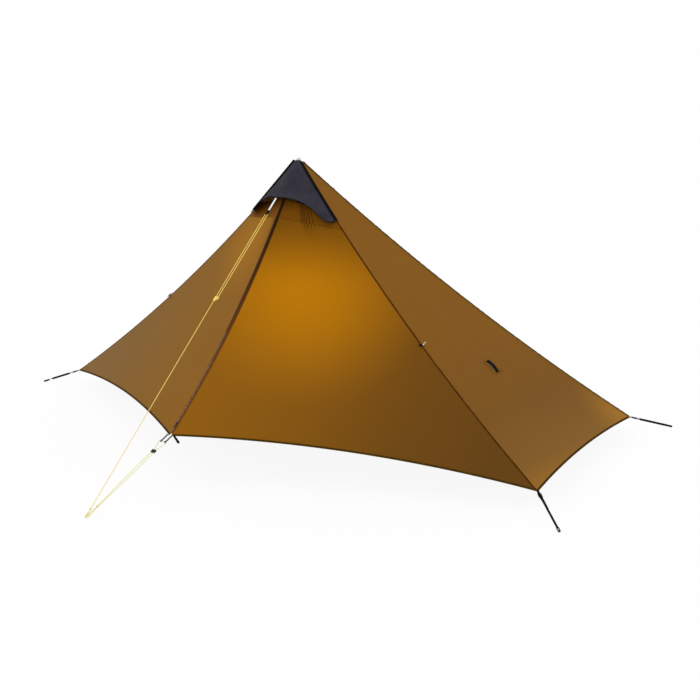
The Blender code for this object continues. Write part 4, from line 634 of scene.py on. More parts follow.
def fly_cloth(name, stops, painted_spot, centre, radius, top_shade=1.0):
    """Thin double-coated nylon ripstop: satin and crinkled, with light and shade painted into its colour.

    Its colour follows the stops along the tent, which hold the cloth's tone together with painted light
    soaking through it and painted shade away from that light. Then it goes towards a painted spot round
    a centre: a painted pool of light soaking through the cloth, and on the sill a painted shadow under
    the hood. It falls by the top shade, a painted hood shadow, near the hood, darkens as painted shade in
    the creases, and varies at random in soft patches.
    """
    sockets = {"Roughness": 0.5, "Specular IOR Level": 0.03}
    made, tree, shader = start_material(name, sockets)
    place = add(tree, "ShaderNodeTexCoord")
    parts = add(tree, "ShaderNodeSeparateXYZ", {}, {0: place.outputs["Object"]})
    reach = add(tree, "ShaderNodeMath", {"operation": "ABSOLUTE"}, {0: parts.outputs["X"]})
    length = add(
        tree, "ShaderNodeMapRange", {"From Max": FRONT_HALF_LENGTH}, {"Value": reach.outputs[0]}
    )
    base = add(tree, "ShaderNodeValToRGB", {"stops": stops}, {"Fac": length.outputs["Result"]})
    # A painted spot round the centre: painted light soaking through the cloth, and painted shadow on the
    # sill.
    offset = add(
        tree, "ShaderNodeVectorMath", {"operation": "SUBTRACT", 1: centre}, {0: place.outputs["Object"]}
    )
    scaled = add(
        tree, "ShaderNodeVectorMath", {"operation": "DIVIDE", 1: radius}, {0: offset.outputs[0]}
    )
    ball = add(
        tree, "ShaderNodeTexGradient", {"gradient_type": "SPHERICAL"}, {"Vector": scaled.outputs[0]}
    )
    spread = add(
        tree, "ShaderNodeMapRange", {"interpolation_type": "SMOOTHSTEP"}, {"Value": ball.outputs["Fac"]}
    )
    # Painted hood shadow: the colour darkens towards the top, next to the hood.
    painted_hood_shadow = add(
        tree,
        "ShaderNodeMapRange",
        {
            "interpolation_type": "SMOOTHSTEP",
            "From Min": TOP_SHADE_LOW,
            "From Max": TOP_SHADE_HIGH,
            "To Min": 1.0,
            "To Max": top_shade,
        },
        {"Value": parts.outputs["Z"]},
    )
    cloud = add(
        tree,
        "ShaderNodeTexNoise",
        {"Scale": 1 / CLOUD_SPACING, "Detail": 2.0},
        {"Vector": place.outputs["Object"]},
    )
    patchy = add(
        tree,
        "ShaderNodeMapRange",
        {"To Min": 1 - CLOUD_SPREAD, "To Max": 1 + CLOUD_SPREAD},
        {"Value": cloud.outputs["Fac"]},
    )
    with_painted_spot = add(
        tree,
        "ShaderNodeMix",
        {"data_type": "RGBA", 7: linear(painted_spot)},
        {0: spread.outputs["Result"], 6: base.outputs["Color"]},
    )
    # Painted shade in the creases, and beside the zip on the left door, read from the fold marks.
    fold = add(tree, "ShaderNodeAttribute", {"attribute_name": "fold"})
    shaded = add(
        tree,
        "ShaderNodeMapRange",
        {"To Min": 1.0, "To Max": CREASE_SHADE},
        {"Value": fold.outputs["Fac"]},
    )
    # Random patches of tone times the painted crease shade, then times the painted hood shadow.
    folded = add(
        tree, "ShaderNodeMath", {"operation": "MULTIPLY"}, {0: patchy.outputs[0], 1: shaded.outputs[0]}
    )
    tone = add(
        tree, "ShaderNodeMath", {"operation": "MULTIPLY"}, {0: folded.outputs[0], 1: painted_hood_shadow.outputs[0]}
    )
    toned = add(
        tree, "ShaderNodeVectorMath", {"operation": "SCALE"}, {0: with_painted_spot.outputs[2], 3: tone.outputs[0]}
    )
    tree.links.new(toned.outputs[0], shader.inputs["Base Color"])
    cut = add(tree, "ShaderNodeUVMap", {"uv_map": "cut"})
    grids = []
    for way in ("X", "Y"):
        grids.append(
            add(
                tree,
                "ShaderNodeTexWave",
                {
                    "bands_direction": way,
                    "Scale": WAVE_LENGTH_AT_ONE / RIPSTOP_SPACING,
                    "Distortion": 0.0,
                },
                {"Vector": cut.outputs["UV"]},
            )
        )
    ribs = add(
        tree,
        "ShaderNodeMath",
        {"operation": "MAXIMUM"},
        {0: grids[0].outputs["Fac"], 1: grids[1].outputs["Fac"]},
    )
    threads = add(
        tree, "ShaderNodeMath", {"operation": "POWER", 1: 12.0}, {0: ribs.outputs[0]}
    )
    crinkle = add(
        tree,
        "ShaderNodeTexNoise",
        {"Scale": 1 / CRINKLE_SPACING, "Detail": 5.0, "Roughness": 0.6},
        {"Vector": cut.outputs["UV"]},
    )
    fine = add(
        tree,
        "ShaderNodeMath",
        {"operation": "MULTIPLY_ADD", 1: RIPSTOP_SHARE},
        {0: threads.outputs[0], 2: crinkle.outputs["Fac"]},
    )
    roughened(tree, shader, fine.outputs[0], 0.35, CRINKLE_HEIGHT)
    return made


DOORS = {side: door_surface(side) for side in SIDES}
ENDS = {side: end_surface(side) for side in SIDES}
REAR = rear_surface()

# The stops hold each panel's tone together with painted light soaking through it and painted shade away from
# that light. Each spot below is a painted pool of light soaking through, and a top shade is a painted hood
# shadow.
END_STOPS = [(0.0, "#88591A"), (0.3, "#8B5C19"), (0.55, "#875918"), (0.78, "#80561D")]
END_STOPS += [(0.93, "#886027"), (1.0, "#A06C22")]
END_CORNER_GLOW = "#A87424"
END_CORNER_REACH = (0.35, 0.35, 0.35)
LEFT_STOPS = [(0.0, "#875A12"), (0.35, "#82591A"), (0.75, "#7C5A29")]
LEFT_TOP_GLOW = "#98650F"
LEFT_TOP_AT = (0.38, 0.12)
LEFT_TOP_REACH = (0.3, 0.34, 0.34)
RIGHT_STOPS = [(0.0, "#905D10"), (0.3, "#85550F"), (0.6, "#6F4813"), (0.85, "#664316")]
RIGHT_GLOW = "#B97602"
RIGHT_GLOW_AT = (0.36, 0.33)
RIGHT_GLOW_REACH = (0.62, 0.56, 0.52)
RIGHT_TOP_SHADE = 0.58
REAR_STOPS = [(0.0, "#80571F"), (1.0, "#80571F")]
REAR_MIDDLE_GLOW = "#8A6024"
REAR_MIDDLE_AT = (0.0, 0.45, 0.6)
REAR_MIDDLE_REACH = (1.0, 1.0, 0.6)

cloths = {}
for side in SIDES:
    corner_glow_spot = Vector(CORNERS[side + "_rear"])
    cloths[side + "_end"] = fly_cloth(
        side + "_end_ripstop", END_STOPS, END_CORNER_GLOW, corner_glow_spot, END_CORNER_REACH
    )
left_glow_spot = Vector(DOORS["left"](*LEFT_TOP_AT))
cloths["left_door"] = fly_cloth("left_door_ripstop", LEFT_STOPS, LEFT_TOP_GLOW, left_glow_spot, LEFT_TOP_REACH)
right_glow_spot = Vector(DOORS["right"](*RIGHT_GLOW_AT))
cloths["right_door"] = fly_cloth(
    "right_door_ripstop", RIGHT_STOPS, RIGHT_GLOW, right_glow_spot, RIGHT_GLOW_REACH, RIGHT_TOP_SHADE
)
rear_glow_spot = Vector(REAR_MIDDLE_AT)
cloths["rear"] = fly_cloth("rear_ripstop", REAR_STOPS, REAR_MIDDLE_GLOW, rear_glow_spot, REAR_MIDDLE_REACH)

# Each crease's share of the way from zip to ridge, its depth, and the share of the ridge it fades over.
CREASES = ((0.38, 0.7, 0.010), (0.418, 1.0, 0.02), (0.46, 1.0, 0.028), (0.512, 1.0, 0.02), (0.57, 0.7, 0.011))
CREASE_HALF = 0.0115
CREASE_START = 0.222
CREASE_LEAN = 0.5
CREASE_WAVER = 0.007
CREASE_WAVER_LENGTH = 0.021
HOOD_SHADE = 0.6
HOOD_SHADE_WIDTH = 0.09
HOOD_SHADE_DROP = 0.16


def creases(share, t):
    """How deep the cloth folds at a share of the way from zip to ridge, below the hood's right lobe."""
    waver = CREASE_WAVER * np.sin(2 * math.pi * t / CREASE_WAVER_LENGTH)
    lean = share - CREASE_LEAN * (t - CREASE_START) + waver
    below = np.maximum(t - CREASE_START, 0)
    return sum(
        depth * np.exp(-(((lean - place) / CREASE_HALF) ** 2)) * np.exp(-below / reach)
        for place, depth, reach in CREASES
    )


def door_folds(u, v):
    """The creases on the right door, which starts where the sill ends."""
    return creases(u, mix(DOOR_TOP_AT_RIDGE, 1.0, np.clip(v, 0, 1)))


def beak_shade(u, v):
    """The dusk beside the zip where the hood's beak keeps the light off the left door."""
    down = np.clip(v, 0, 1) / HOOD_SHADE_DROP
    return HOOD_SHADE * np.exp(-((u / HOOD_SHADE_WIDTH) ** 2)) * np.exp(-(down**2))


panels = {}
for side in SIDES:
    height = slack_in(SLACK_SEEDS[side + "_end"])
    finish = cloths[side + "_end"]
    end = cloth_panel(side + "_end_cloth", ENDS[side], (SEAM_GAP, SEAM_GAP), height, finish)
    panels[side + "_end"] = settle(end, "root", "canopy_cloth", side + "_end_panel")
    height = slack_in(SLACK_SEEDS[side + "_door"])
    finish = cloths[side + "_door"]
    # On the left door the fold marks carry the painted shade beside the zip, which also presses the cloth in
    # a little.
    folds = door_folds if side == "right" else beak_shade
    door = cloth_panel(
        side + "_door_cloth", DOORS[side], (ZIP_GAP, SEAM_GAP), height, finish, folds=folds
    )
    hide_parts(side + "_door_panel")
    panels[side + "_door"] = door
height = slack_in(SLACK_SEEDS["rear"])
rear = cloth_panel("rear_cloth", REAR, (SEAM_GAP, SEAM_GAP), height, cloths["rear"])
panels["rear"] = settle(rear, "root", "canopy_cloth", "rear_panel")

# The sill's dark spot is a painted shadow under the hood, and its top shade a painted hood shadow too.
SILL_STOPS = [(0.0, "#8A5304"), (0.3, "#87540A")]
SILL_SHADE = "#261608"
SILL_SHADE_AT = (-0.18, -0.07, 1.09)
SILL_SHADE_REACH = (0.28, 0.22, 0.13)
SILL_TOP_SHADE = 0.72
SILL_DIP = 0.6 * MM


def sill_lap(u, v, width, drop):
    """The sill dips just under the doors towards its foot."""
    return -SILL_DIP * v


def sill_folds(u, v):
    """The same creases on the right half of the sill."""
    return np.where(u > 0.5, creases(2 * u - 1, mix(SILL_TOP_AT_RIDGE, SILL_LAP, v)), 0.0)


sill_shadow_spot = Vector(SILL_SHADE_AT)
sill_cloth = fly_cloth(
    "sill_ripstop", SILL_STOPS, SILL_SHADE, sill_shadow_spot, SILL_SHADE_REACH, SILL_TOP_SHADE
)
sill = cloth_panel(
    "vent_sill_cloth",
    sill_point,
    (SEAM_GAP, SEAM_GAP),
    sill_lap,
    sill_cloth,
    columns=160,
    rows=20,
    folds=sill_folds,
)
panels["sill"] = settle(sill, "root", "canopy_cloth", "vent_sill")


# Ridge seams. Where two panels meet, their edges are folded into each other and sewn down flat with
# two rows of stitches, so four layers of cloth stand a little proud and read darker than the panels.

SEAM_HALF = 4.8 * MM
SEAM_PROUD = 0.7 * MM
SEAM_EDGE = 0.15 * MM
SEAM_INNER = 2.3 * MM
SEAM_END = 0.004
SEAM_WAVER = 1.6 * MM
WAVER_PER_STATION = 0.15
BUMPS_PER_STATION = 0.6
FRONT_SEAM_SEED = 2.0
REAR_SEAM_SEED = 5.0
RIM_HALF = 8.0 * MM
RIM_PROUD = 2.6 * MM
SEAM_COLOUR = "#5C340C"
SEAM_SHADE = "#3E2006"
SEAM_LIGHT = "#8C6222"
RIM_COLOUR = "#3E260A"
RIM_SHADE = "#2C1A06"
RIM_LIGHT = "#9A7634"
SEAM_LIGHT_WIDTH = 2.6 * MM
STITCH_PITCH = 4.0 * MM
SEAM_STATIONS = 220


def skin(name, rings, finish, closed=True, sharp=60):
    """A skin over rows of points: closed sections join round and get ends, open ones stay a ribbon.

    Its map runs across the section and along the piece, in metres.
    """
    rings = [np.asarray(ring, float) for ring in rings]
    count = len(rings[0])
    columns = count if closed else count - 1
    stations = len(rings) - 1
    centres = np.array([ring.mean(axis=0) for ring in rings])
    along = np.concatenate(([0.0], np.cumsum(np.linalg.norm(np.diff(centres, axis=0), axis=1))))
    middle = rings[len(rings) // 2]
    girth = np.linalg.norm(np.roll(middle, -1, axis=0) - middle, axis=1)
    across = np.concatenate(([0.0], np.cumsum(girth)))
    bm = bmesh.new()
    bmesh.ops.create_grid(bm, x_segments=columns, y_segments=stations, size=0.5)
    cut = bm.loops.layers.uv.new("cut")
    spots = {}
    for vert in bm.verts:
        spots[vert] = (round((vert.co.x + 0.5) * columns), round((vert.co.y + 0.5) * stations))
    for face in bm.faces:
        for corner in face.loops:
            column, station = spots[corner.vert]
            corner[cut].uv = (across[column], along[station])
    for vert, (column, station) in spots.items():
        vert.co = rings[station][column % count]
    if closed:
        bmesh.ops.remove_doubles(bm, verts=bm.verts, dist=0.0001 * MM)
        rims = [edge for edge in bm.edges if edge.is_boundary]
        if rims:
            bmesh.ops.holes_fill(bm, edges=rims, sides=0)
        bmesh.ops.recalc_face_normals(bm, faces=bm.faces)
    return as_piece(bm, name, finish, sharp)


def sewn_cloth(name, colour, shade, light=None):
    """Folded and stitched coated cloth: darker than one layer, with the dimples of its stitches.

    A light colour marks the strip along its first edge, where the fold catches the light.
    """
    made, tree, shader = start_material(name, {"Roughness": 0.7, "Specular IOR Level": 0.02})
    cut = add(tree, "ShaderNodeUVMap", {"uv_map": "cut"})
    place = add(tree, "ShaderNodeTexCoord")
    stitches = add(
        tree,
        "ShaderNodeTexWave",
        {"bands_direction": "Y", "Scale": WAVE_LENGTH_AT_ONE / STITCH_PITCH},
        {"Vector": cut.outputs["UV"]},
    )
    wear = add(
        tree,
        "ShaderNodeTexNoise",
        {"Scale": 1 / (30 * MM), "Detail": 3.0},
        {"Vector": place.outputs["Object"]},
    )
    tint = add(
        tree,
        "ShaderNodeValToRGB",
        {"stops": [(0.3, shade), (0.7, colour)]},
        {"Fac": wear.outputs["Fac"]},
    )
    shown = tint.outputs["Color"]
    if light:
        parts = add(tree, "ShaderNodeSeparateXYZ", {}, {0: cut.outputs["UV"]})
        strip = add(
            tree, "ShaderNodeMath", {"operation": "LESS_THAN", 1: SEAM_LIGHT_WIDTH}, {0: parts.outputs["X"]}
        )
        edged = add(
            tree,
            "ShaderNodeMix",
            {"data_type": "RGBA", 7: linear(light)},
            {0: strip.outputs[0], 6: shown},
        )
        shown = edged.outputs[2]
    tree.links.new(shown, shader.inputs["Base Color"])
    roughened(tree, shader, stitches.outputs["Fac"], 0.4, 0.4 * MM)
    return made


def front_side(side):
    """The cloth on the zip's side of a front ridge, read along the end panel's own length."""
    corner = side + "_front"

    def point(u, v):
        t = mix(END_PANEL_TOP, 1.0, v)
        return mix(ridge_point(corner, t), zip_point(t), u)

    return point


def rear_side(side):
    """The rear panel's cloth, read along the end panel's own length from its rear ridge."""
    other = "left" if side == "right" else "right"

    def point(u, v):
        t = mix(END_PANEL_TOP, 1.0, v)
        return mix(ridge_point(side + "_rear", t), ridge_point(other + "_rear", t), u)

    return point


def ridge_seam(name, first, first_edge, second, second_edge, finish, seed, half, proud):
    """A flat seam over a ridge, its folded edges holding the cloth of both panels."""
    rings = []
    for i in range(SEAM_STATIONS + 1):
        v = mix(SEAM_END, 1 - SEAM_END, i / SEAM_STATIONS)
        seam = first(first_edge, v)
        arms = []
        for surface, edge in ((first, first_edge), (second, second_edge)):
            across, down, normal = surface_axes(surface, edge, v)
            inward = across if edge < 0.5 else -across
            away = np.cross(down, normal)
            arms.append((away if dot(away, inward) > 0 else -away, normal))
        (arm_a, normal_a), (arm_b, normal_b) = arms
        crown = (normal_a + normal_b) / (1 + dot(normal_a, normal_b))
        waver = SEAM_WAVER * noise.noise(Vector((i * WAVER_PER_STATION, seed, 0.0)))
        lift = proud * (1 + 0.5 * noise.noise(Vector((i * BUMPS_PER_STATION, seed + 7.0, 0.0))))
        wide = half + 0.4 * waver
        seam = seam + (arm_a - arm_b) * waver / 2
        rings.append(
            [
                seam + arm_a * wide + normal_a * SEAM_EDGE,
                seam + arm_a * wide * 0.8 + normal_a * lift,
                seam + arm_a * wide * 0.35 + normal_a * lift * 0.7,
                seam + crown * lift,
                seam + arm_b * wide * 0.35 + normal_b * lift * 0.7,
                seam + arm_b * wide * 0.8 + normal_b * lift,
                seam + arm_b * wide + normal_b * SEAM_EDGE,
                seam + arm_b * wide * 0.9 - normal_b * SEAM_INNER * 0.6,
                seam - crown * SEAM_INNER,
                seam + arm_a * wide * 0.9 - normal_a * SEAM_INNER * 0.6,
            ]
        )
    return skin(name, rings, finish)


seam_cloth = sewn_cloth("felled_seam_cloth", SEAM_COLOUR, SEAM_SHADE, SEAM_LIGHT)
rim_cloth = sewn_cloth("felled_rear_seam_cloth", RIM_COLOUR, RIM_SHADE, RIM_LIGHT)
for side in SIDES:
    for end, u, other, finish, seed, half, proud in (
        ("_front", 0.0, front_side(side), seam_cloth, FRONT_SEAM_SEED, SEAM_HALF, SEAM_PROUD),
        ("_rear", 1.0, rear_side(side), rim_cloth, REAR_SEAM_SEED, RIM_HALF, RIM_PROUD),
    ):
        seam = ridge_seam(side + end + "_ridge_seam", ENDS[side], u, other, 0.0, finish, seed, half, proud)
        settle(seam, "root", "canopy_cloth", side + end + "_ridge_tape")


# Hem bindings. Dark grosgrain tape folded over the raw lower edge of each panel and sewn through,
# which keeps the hollow hem from stretching.

BINDING_DEPTH = 7.5 * MM
BINDING_HALF = 1.0 * MM
BINDING_WALL = 0.5 * MM
BINDING_END = 0.004
HEM_STATIONS = 150
HEM_COLOUR = "#50380A"
HEM_SHADE = "#382807"
FOLD = [(BINDING_DEPTH, 0.75), (BINDING_DEPTH * 0.5, 0.95), (0.6 * MM, 1.0)]
FOLD += [(-0.3 * MM, 0.8), (-0.8 * MM, 0.0)]


def hem_binding(name, surface, gaps, finish):
    """Tape folded round a hem, as a ribbon with a wall."""
    section = [(depth, BINDING_HALF * share) for depth, share in FOLD]
    section += [(depth, -height) for depth, height in section[-2::-1]]
    low = inset(surface, 1.0, gaps[0], False)
    high = 1 - inset(surface, 1.0, gaps[1], True)
    rows = []
    for i in range(HEM_STATIONS + 1):
        u = mix(low, high, mix(BINDING_END, 1 - BINDING_END, i / HEM_STATIONS))
        across, down, normal = surface_axes(surface, u, 1.0)
        up = np.cross(normal, across)
        up = np.where(dot(up, down) > 0, -up, up)
        edge = surface(u, 1.0) - normal * (CLOTH_DEPTH + CLOTH_THICKNESS / 2)
        rows.append([(edge + up * depth + normal * height).reshape(3) for depth, height in section])
    piece = skin(name, rows, finish, closed=False)
    wall = piece.modifiers.new("tape", "SOLIDIFY")
    wall.thickness = BINDING_WALL
    wall.offset = 0.0
    return piece


hem_tape = sewn_cloth("grosgrain_hem_tape", HEM_COLOUR, HEM_SHADE)
hems = {}
for side in SIDES:
    end_hem = hem_binding(side + "_end_hem_tape", ENDS[side], (SEAM_GAP, SEAM_GAP), hem_tape)
    hems[side + "_end"] = settle(end_hem, "root", "binding_tape", side + "_end_hem_binding")
    door_hem = hem_binding(side + "_door_hem_tape", DOORS[side], (ZIP_GAP, SEAM_GAP), hem_tape)
    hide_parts(side + "_door_hem_binding")
    hems[side + "_door"] = door_hem
rear_hem = hem_binding("rear_hem_tape", REAR, (SEAM_GAP, SEAM_GAP), hem_tape)
hems["rear"] = settle(rear_hem, "root", "binding_tape", "rear_hem_binding")


# How the doors hang. A door is sewn to the end panel along its front ridge, so when it is thrown open
# a strip beside the ridge stays with the canopy and the cloth bends over the width of a hand; here the
# band where it would bend is worked out but not used, and the doors' sheets and hems are baked in place.
# All the panels hang stretched from the peak's ring and the ridges, with their bindings sewn on; here
# only each panel's flat size and area are read from its map.

BEND_WIDTH = 0.15
BEND_MARGIN = 0.008

for side in SIDES:
    surface = DOORS[side]
    hinge_top = surface(1.0, 0.0)
    hinge_way = unit(CORNERS[side + "_front"] - hinge_top)
    toward = surface(0.3, 0.6) - hinge_top
    toward = unit(toward - hinge_way * dot(toward, hinge_way))
    edge = surface(1.0, np.linspace(0, 1, 40).reshape(-1, 1))
    start_reach = float(dot(edge - hinge_top, toward).max()) + BEND_MARGIN
    start = hinge_top + toward * start_reach
    end = start + toward * BEND_WIDTH
    for piece in (panels[side + "_door"], hems[side + "_door"]):
        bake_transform(piece)

for name, held_by in (
    ("left_end", ["peak_grommet_pressed"]),
    ("right_end", ["peak_grommet_pressed"]),
    ("rear", ["peak_grommet_pressed"]),
    ("left_door", ["left_front_ridge_seam"]),
    ("right_door", ["right_front_ridge_seam"]),
    ("sill", ["left_front_ridge_seam", "right_front_ridge_seam"]),
):
    flat, area = cut_size(panels[name])


# Zip. Two woven tapes sewn to the doors' edges, each with a nylon coil along its inner side, and a
# cast slider with a pull that runs down over both coils.

ZIP_FOOT = 0.993
ZIP_STATIONS = 160
ZIP_TAPE_START = 0.35 * MM
ZIP_TAPE_BEND = 2.75 * MM
ZIP_TAPE_AT_HEAD = 9.0 * MM
ZIP_TAPE_AT_FOOT = 6.2 * MM
ZIP_TAPE_SWELL = {"left": 0.0, "right": 5.0 * MM}
ZIP_TAPE_LOW = 0.4 * MM
ZIP_TAPE_HIGH = 1.2 * MM
ZIP_TAPE_HEAD_COLOUR = "#2A170C"
ZIP_TAPE_FOOT_COLOUR = "#70431E"
ZIP_TAPE_RIB = 1.2 * MM
COIL_OFFSET = 0.95 * MM
COIL_RADIUS = 0.75 * MM
COIL_WIRE = 0.33 * MM
COIL_PITCH = 2.2 * MM
COIL_HEIGHT = 1.1 * MM
COIL_POINTS = 6
COIL_BROWN = "#4A2C16"
SLIDER_BROWN = "#552F26"


def zip_outward(t):
    """The direction off the tent's face at a place on the zip's arc."""
    angle = (2 * t - 1) * ZIP_HALF_ANGLE
    return ZIP_OUTWARD * np.cos(angle) - ZIP_ALONG * np.sin(angle)


def door_slope():
    """The angle by which the doors fall away on both sides of the zip, half way down."""
    across, _, _ = surface_axes(DOORS["right"], 0.001, 0.5)
    outward = zip_outward(mix(DOOR_TOP_AT_ZIP, 1.0, 0.5))
    return math.atan2(-float(dot(across, outward)[0]), float(across[0]))


DOOR_SLOPE = door_slope()


def coil_place(sign, t, out, above):
    """A point that far out from the zip line along a door, and above the door's face."""
    outward = zip_outward(t)
    x_way = np.array((float(sign), 0.0, 0.0))
    across = x_way * math.cos(DOOR_SLOPE) - outward * math.sin(DOOR_SLOPE)
    normal = x_way * math.sin(DOOR_SLOPE) + outward * math.cos(DOOR_SLOPE)
    return zip_point(t) + across * out + normal * above


def tape_place(side, t, out, above):
    """The same, but on the door's own cloth, for the tape's outer edge."""
    v = (t - DOOR_TOP_AT_ZIP) / (1 - DOOR_TOP_AT_ZIP)
    surface = DOORS[side]
    u = inset(surface, v, out, False)
    _, _, normal = surface_axes(surface, u, min(max(v, 0.001), 0.999))
    return (surface(u, v) + normal * above).reshape(3)


def zip_weave():
    """Polyester zip tape: matt with the ribs of its weave; darker towards its head, browner below."""
    made, tree, shader = start_material("woven_zip_tape", {"Roughness": 0.75, "Specular IOR Level": 0.04})
    cut = add(tree, "ShaderNodeUVMap", {"uv_map": "cut"})
    place = add(tree, "ShaderNodeTexCoord")
    parts = add(tree, "ShaderNodeSeparateXYZ", {}, {0: place.outputs["Object"]})
    fall = add(
        tree, "ShaderNodeMapRange", {"From Min": 1.0, "From Max": 0.4}, {"Value": parts.outputs["Z"]}
    )
    ribs = add(
        tree,
        "ShaderNodeTexWave",
        {"bands_direction": "Y", "Scale": WAVE_LENGTH_AT_ONE / ZIP_TAPE_RIB},
        {"Vector": cut.outputs["UV"]},
    )
    tint = add(
        tree,
        "ShaderNodeValToRGB",
        {"stops": [(0.0, ZIP_TAPE_HEAD_COLOUR), (1.0, ZIP_TAPE_FOOT_COLOUR)]},
        {"Fac": fall.outputs["Result"]},
    )
    tree.links.new(tint.outputs["Color"], shader.inputs["Base Color"])
    roughened(tree, shader, ribs.outputs["Fac"], 0.4, 0.15 * MM)
    return made


def wire(name, points, radius, finish, sides=2):
    """A round wire or thread along points, as a curve with closed ends."""
    curve = bpy.data.curves.new(name, "CURVE")
    curve.dimensions = "3D"
    curve.bevel_depth = radius
    curve.bevel_resolution = sides
    curve.use_fill_caps = True
    spline = curve.splines.new("POLY")
    spline.points.add(len(points) - 1)
    for place, point in zip(spline.points, points):
        place.co = (*point, 1.0)
    curve.materials.append(finish)
    piece = bpy.data.objects.new(name, curve)
    bpy.context.scene.collection.objects.link(piece)
    return piece


zip_tape_finish = zip_weave()
coil_finish = moulded("drawn_nylon_coil", COIL_BROWN, 0.6)
zip_run = (ZIP_FOOT - DOOR_TOP_AT_ZIP) * 2 * ZIP_HALF_ANGLE * ZIP_RADIUS
coil_turns = round(zip_run / COIL_PITCH)
for side, sign in SIDES.items():
    rings = []
    for i in range(ZIP_STATIONS + 1):
        share = i / ZIP_STATIONS
        t = mix(DOOR_TOP_AT_ZIP, ZIP_FOOT, share)
        wide = mix(ZIP_TAPE_AT_HEAD, ZIP_TAPE_AT_FOOT, share)
        wide += ZIP_TAPE_SWELL[side] * math.sin(math.pi * share)
        rings.append(
            [
                coil_place(sign, t, ZIP_TAPE_START, ZIP_TAPE_LOW),
                coil_place(sign, t, ZIP_TAPE_BEND, ZIP_TAPE_LOW),
                tape_place(side, t, wide, ZIP_TAPE_LOW - 0.3 * MM),
                tape_place(side, t, wide + 0.3 * MM, 0.5 * MM),
                tape_place(side, t, wide - 0.4 * MM, ZIP_TAPE_HIGH - 0.2 * MM),
                coil_place(sign, t, ZIP_TAPE_BEND, ZIP_TAPE_HIGH),
                coil_place(sign, t, ZIP_TAPE_START, ZIP_TAPE_HIGH),
            ]
        )
    tape = skin(side + "_zip_woven_tape", rings, zip_tape_finish)
    settle(tape, side + "_door", "zip_nylon", side + "_zip_tape")
    helix = []
    for i in range(coil_turns * COIL_POINTS + 1):
        t = mix(DOOR_TOP_AT_ZIP, ZIP_FOOT, i / (coil_turns * COIL_POINTS))
        turn = 2 * math.pi * i / COIL_POINTS + (math.pi if side == "left" else 0.0)
        out = COIL_OFFSET + COIL_RADIUS * math.cos(turn)
        helix.append(coil_place(sign, t, out, COIL_HEIGHT + COIL_RADIUS * math.sin(turn)))
    coil = wire(side + "_zip_coil", helix, COIL_WIRE, coil_finish, 0)
    settle(coil, side + "_door", "zip_nylon")

HEAD_TAPE_HALF = 8.0 * MM
HEAD_TAPE_ROWS = 24
HEAD_TAPE_MIDDLE = 0.18
# The section's corners: their side of the zip line, and their rise off the sill in millimetres.
HEAD_TAPE_SECTION = ((-1, 0.7), (0, 1.1), (1, 0.7), (1, -0.4), (0, -0.9), (-1, -0.4))

rings = []
for i in range(HEAD_TAPE_ROWS + 1):
    v = i / HEAD_TAPE_ROWS
    half_width = np.linalg.norm(sill_point(1.0, v) - sill_point(0.5, v))
    share = 0.5 * HEAD_TAPE_HALF / half_width
    outward = zip_outward(HEAD_TAPE_MIDDLE) * MM
    rings.append([sill_point(0.5 + way * share, v) + outward * rise for way, rise in HEAD_TAPE_SECTION])
head_tape = skin("zip_head_tape", rings, zip_tape_finish)
settle(head_tape, "root", "zip_nylon")

slider_metal = lacquered("red_brown_lacquered_zinc", SLIDER_BROWN)
slider = softened("zip_slider_cast", "zip_slider", 0.25 * MM, slider_metal)
settle(slider, "zip_slider", "dark_metal", "zip_slider")
pull = softened("zip_pull_cast", "zip_pull", 0.3 * MM, slider_metal)
settle(pull, "zip_pull", "dark_metal", "zip_pull")


# Vent hood. A heavier coated cloth, dark blue-grey, sewn over the front of the peak and bound with
# black tape, which stands up in a thick roll along the left edge. The stiffened brim stands off the
# zip's head, and a stud holds down each lobe.

HOOD_BEAK = np.array((0.0, -0.160, 1.0955))
HOOD_BEAK_HANDLE = np.array((0.1608, 0.1127, 0.0))
HOOD_TIP_HANDLE = np.array((-0.035, -0.1035, -0.0367))
HOOD_CROWN_RADIUS = 12.5 * MM
HOOD_CROWN_DROP = 9.5 * MM
HOOD_STANDOFF = 3.5 * MM
HOOD_TIP_AT_RIDGE = 0.1928
HOOD_MARGIN = 1.5 * MM
HOOD_DENTS = 1.5 * MM
HOOD_LIGHT = "#3D3B44"
HOOD_DARK = "#33323A"
HOOD_CLOUD_SPACING = 0.05
HOOD_WEAVE_SPACING = 1.6 * MM


def hood_edge(side, v, lift=0.0):
    """The hood's side edge, standing just off the front ridge, from the crown down to the tip."""
    corner = side + "_front"
    chord = CORNERS[corner] - PEAK
    level = unit(np.array((chord[0], chord[1], 0.0)))
    reach = np.linalg.norm(chord[:2])
    outward = unit(np.array((-chord[2] * level[0], -chord[2] * level[1], reach)))
    start = HOOD_CROWN_RADIUS / reach
    return ridge_point(corner, mix(start, HOOD_TIP_AT_RIDGE, v)) + outward * (HOOD_STANDOFF + lift)


def brim_point(u):
    """The hood's front edge from the left tip (0) over the beak (0.5) to the right tip (1)."""
    u = np.asarray(u, float)
    side_sign = np.where(u < 0.5, -1.0, 1.0)
    t = abs(2 * u - 1)
    tip_place = hood_edge("right", 1.0)
    handles = (HOOD_BEAK, HOOD_BEAK + HOOD_BEAK_HANDLE, tip_place + HOOD_TIP_HANDLE, tip_place)
    weights = ((1 - t) ** 3, 3 * t * (1 - t) ** 2, 3 * t * t * (1 - t), t**3)
    point = sum(handle * weight for handle, weight in zip(handles, weights))
    return point * np.where(np.array((True, False, False)), side_sign, 1.0)


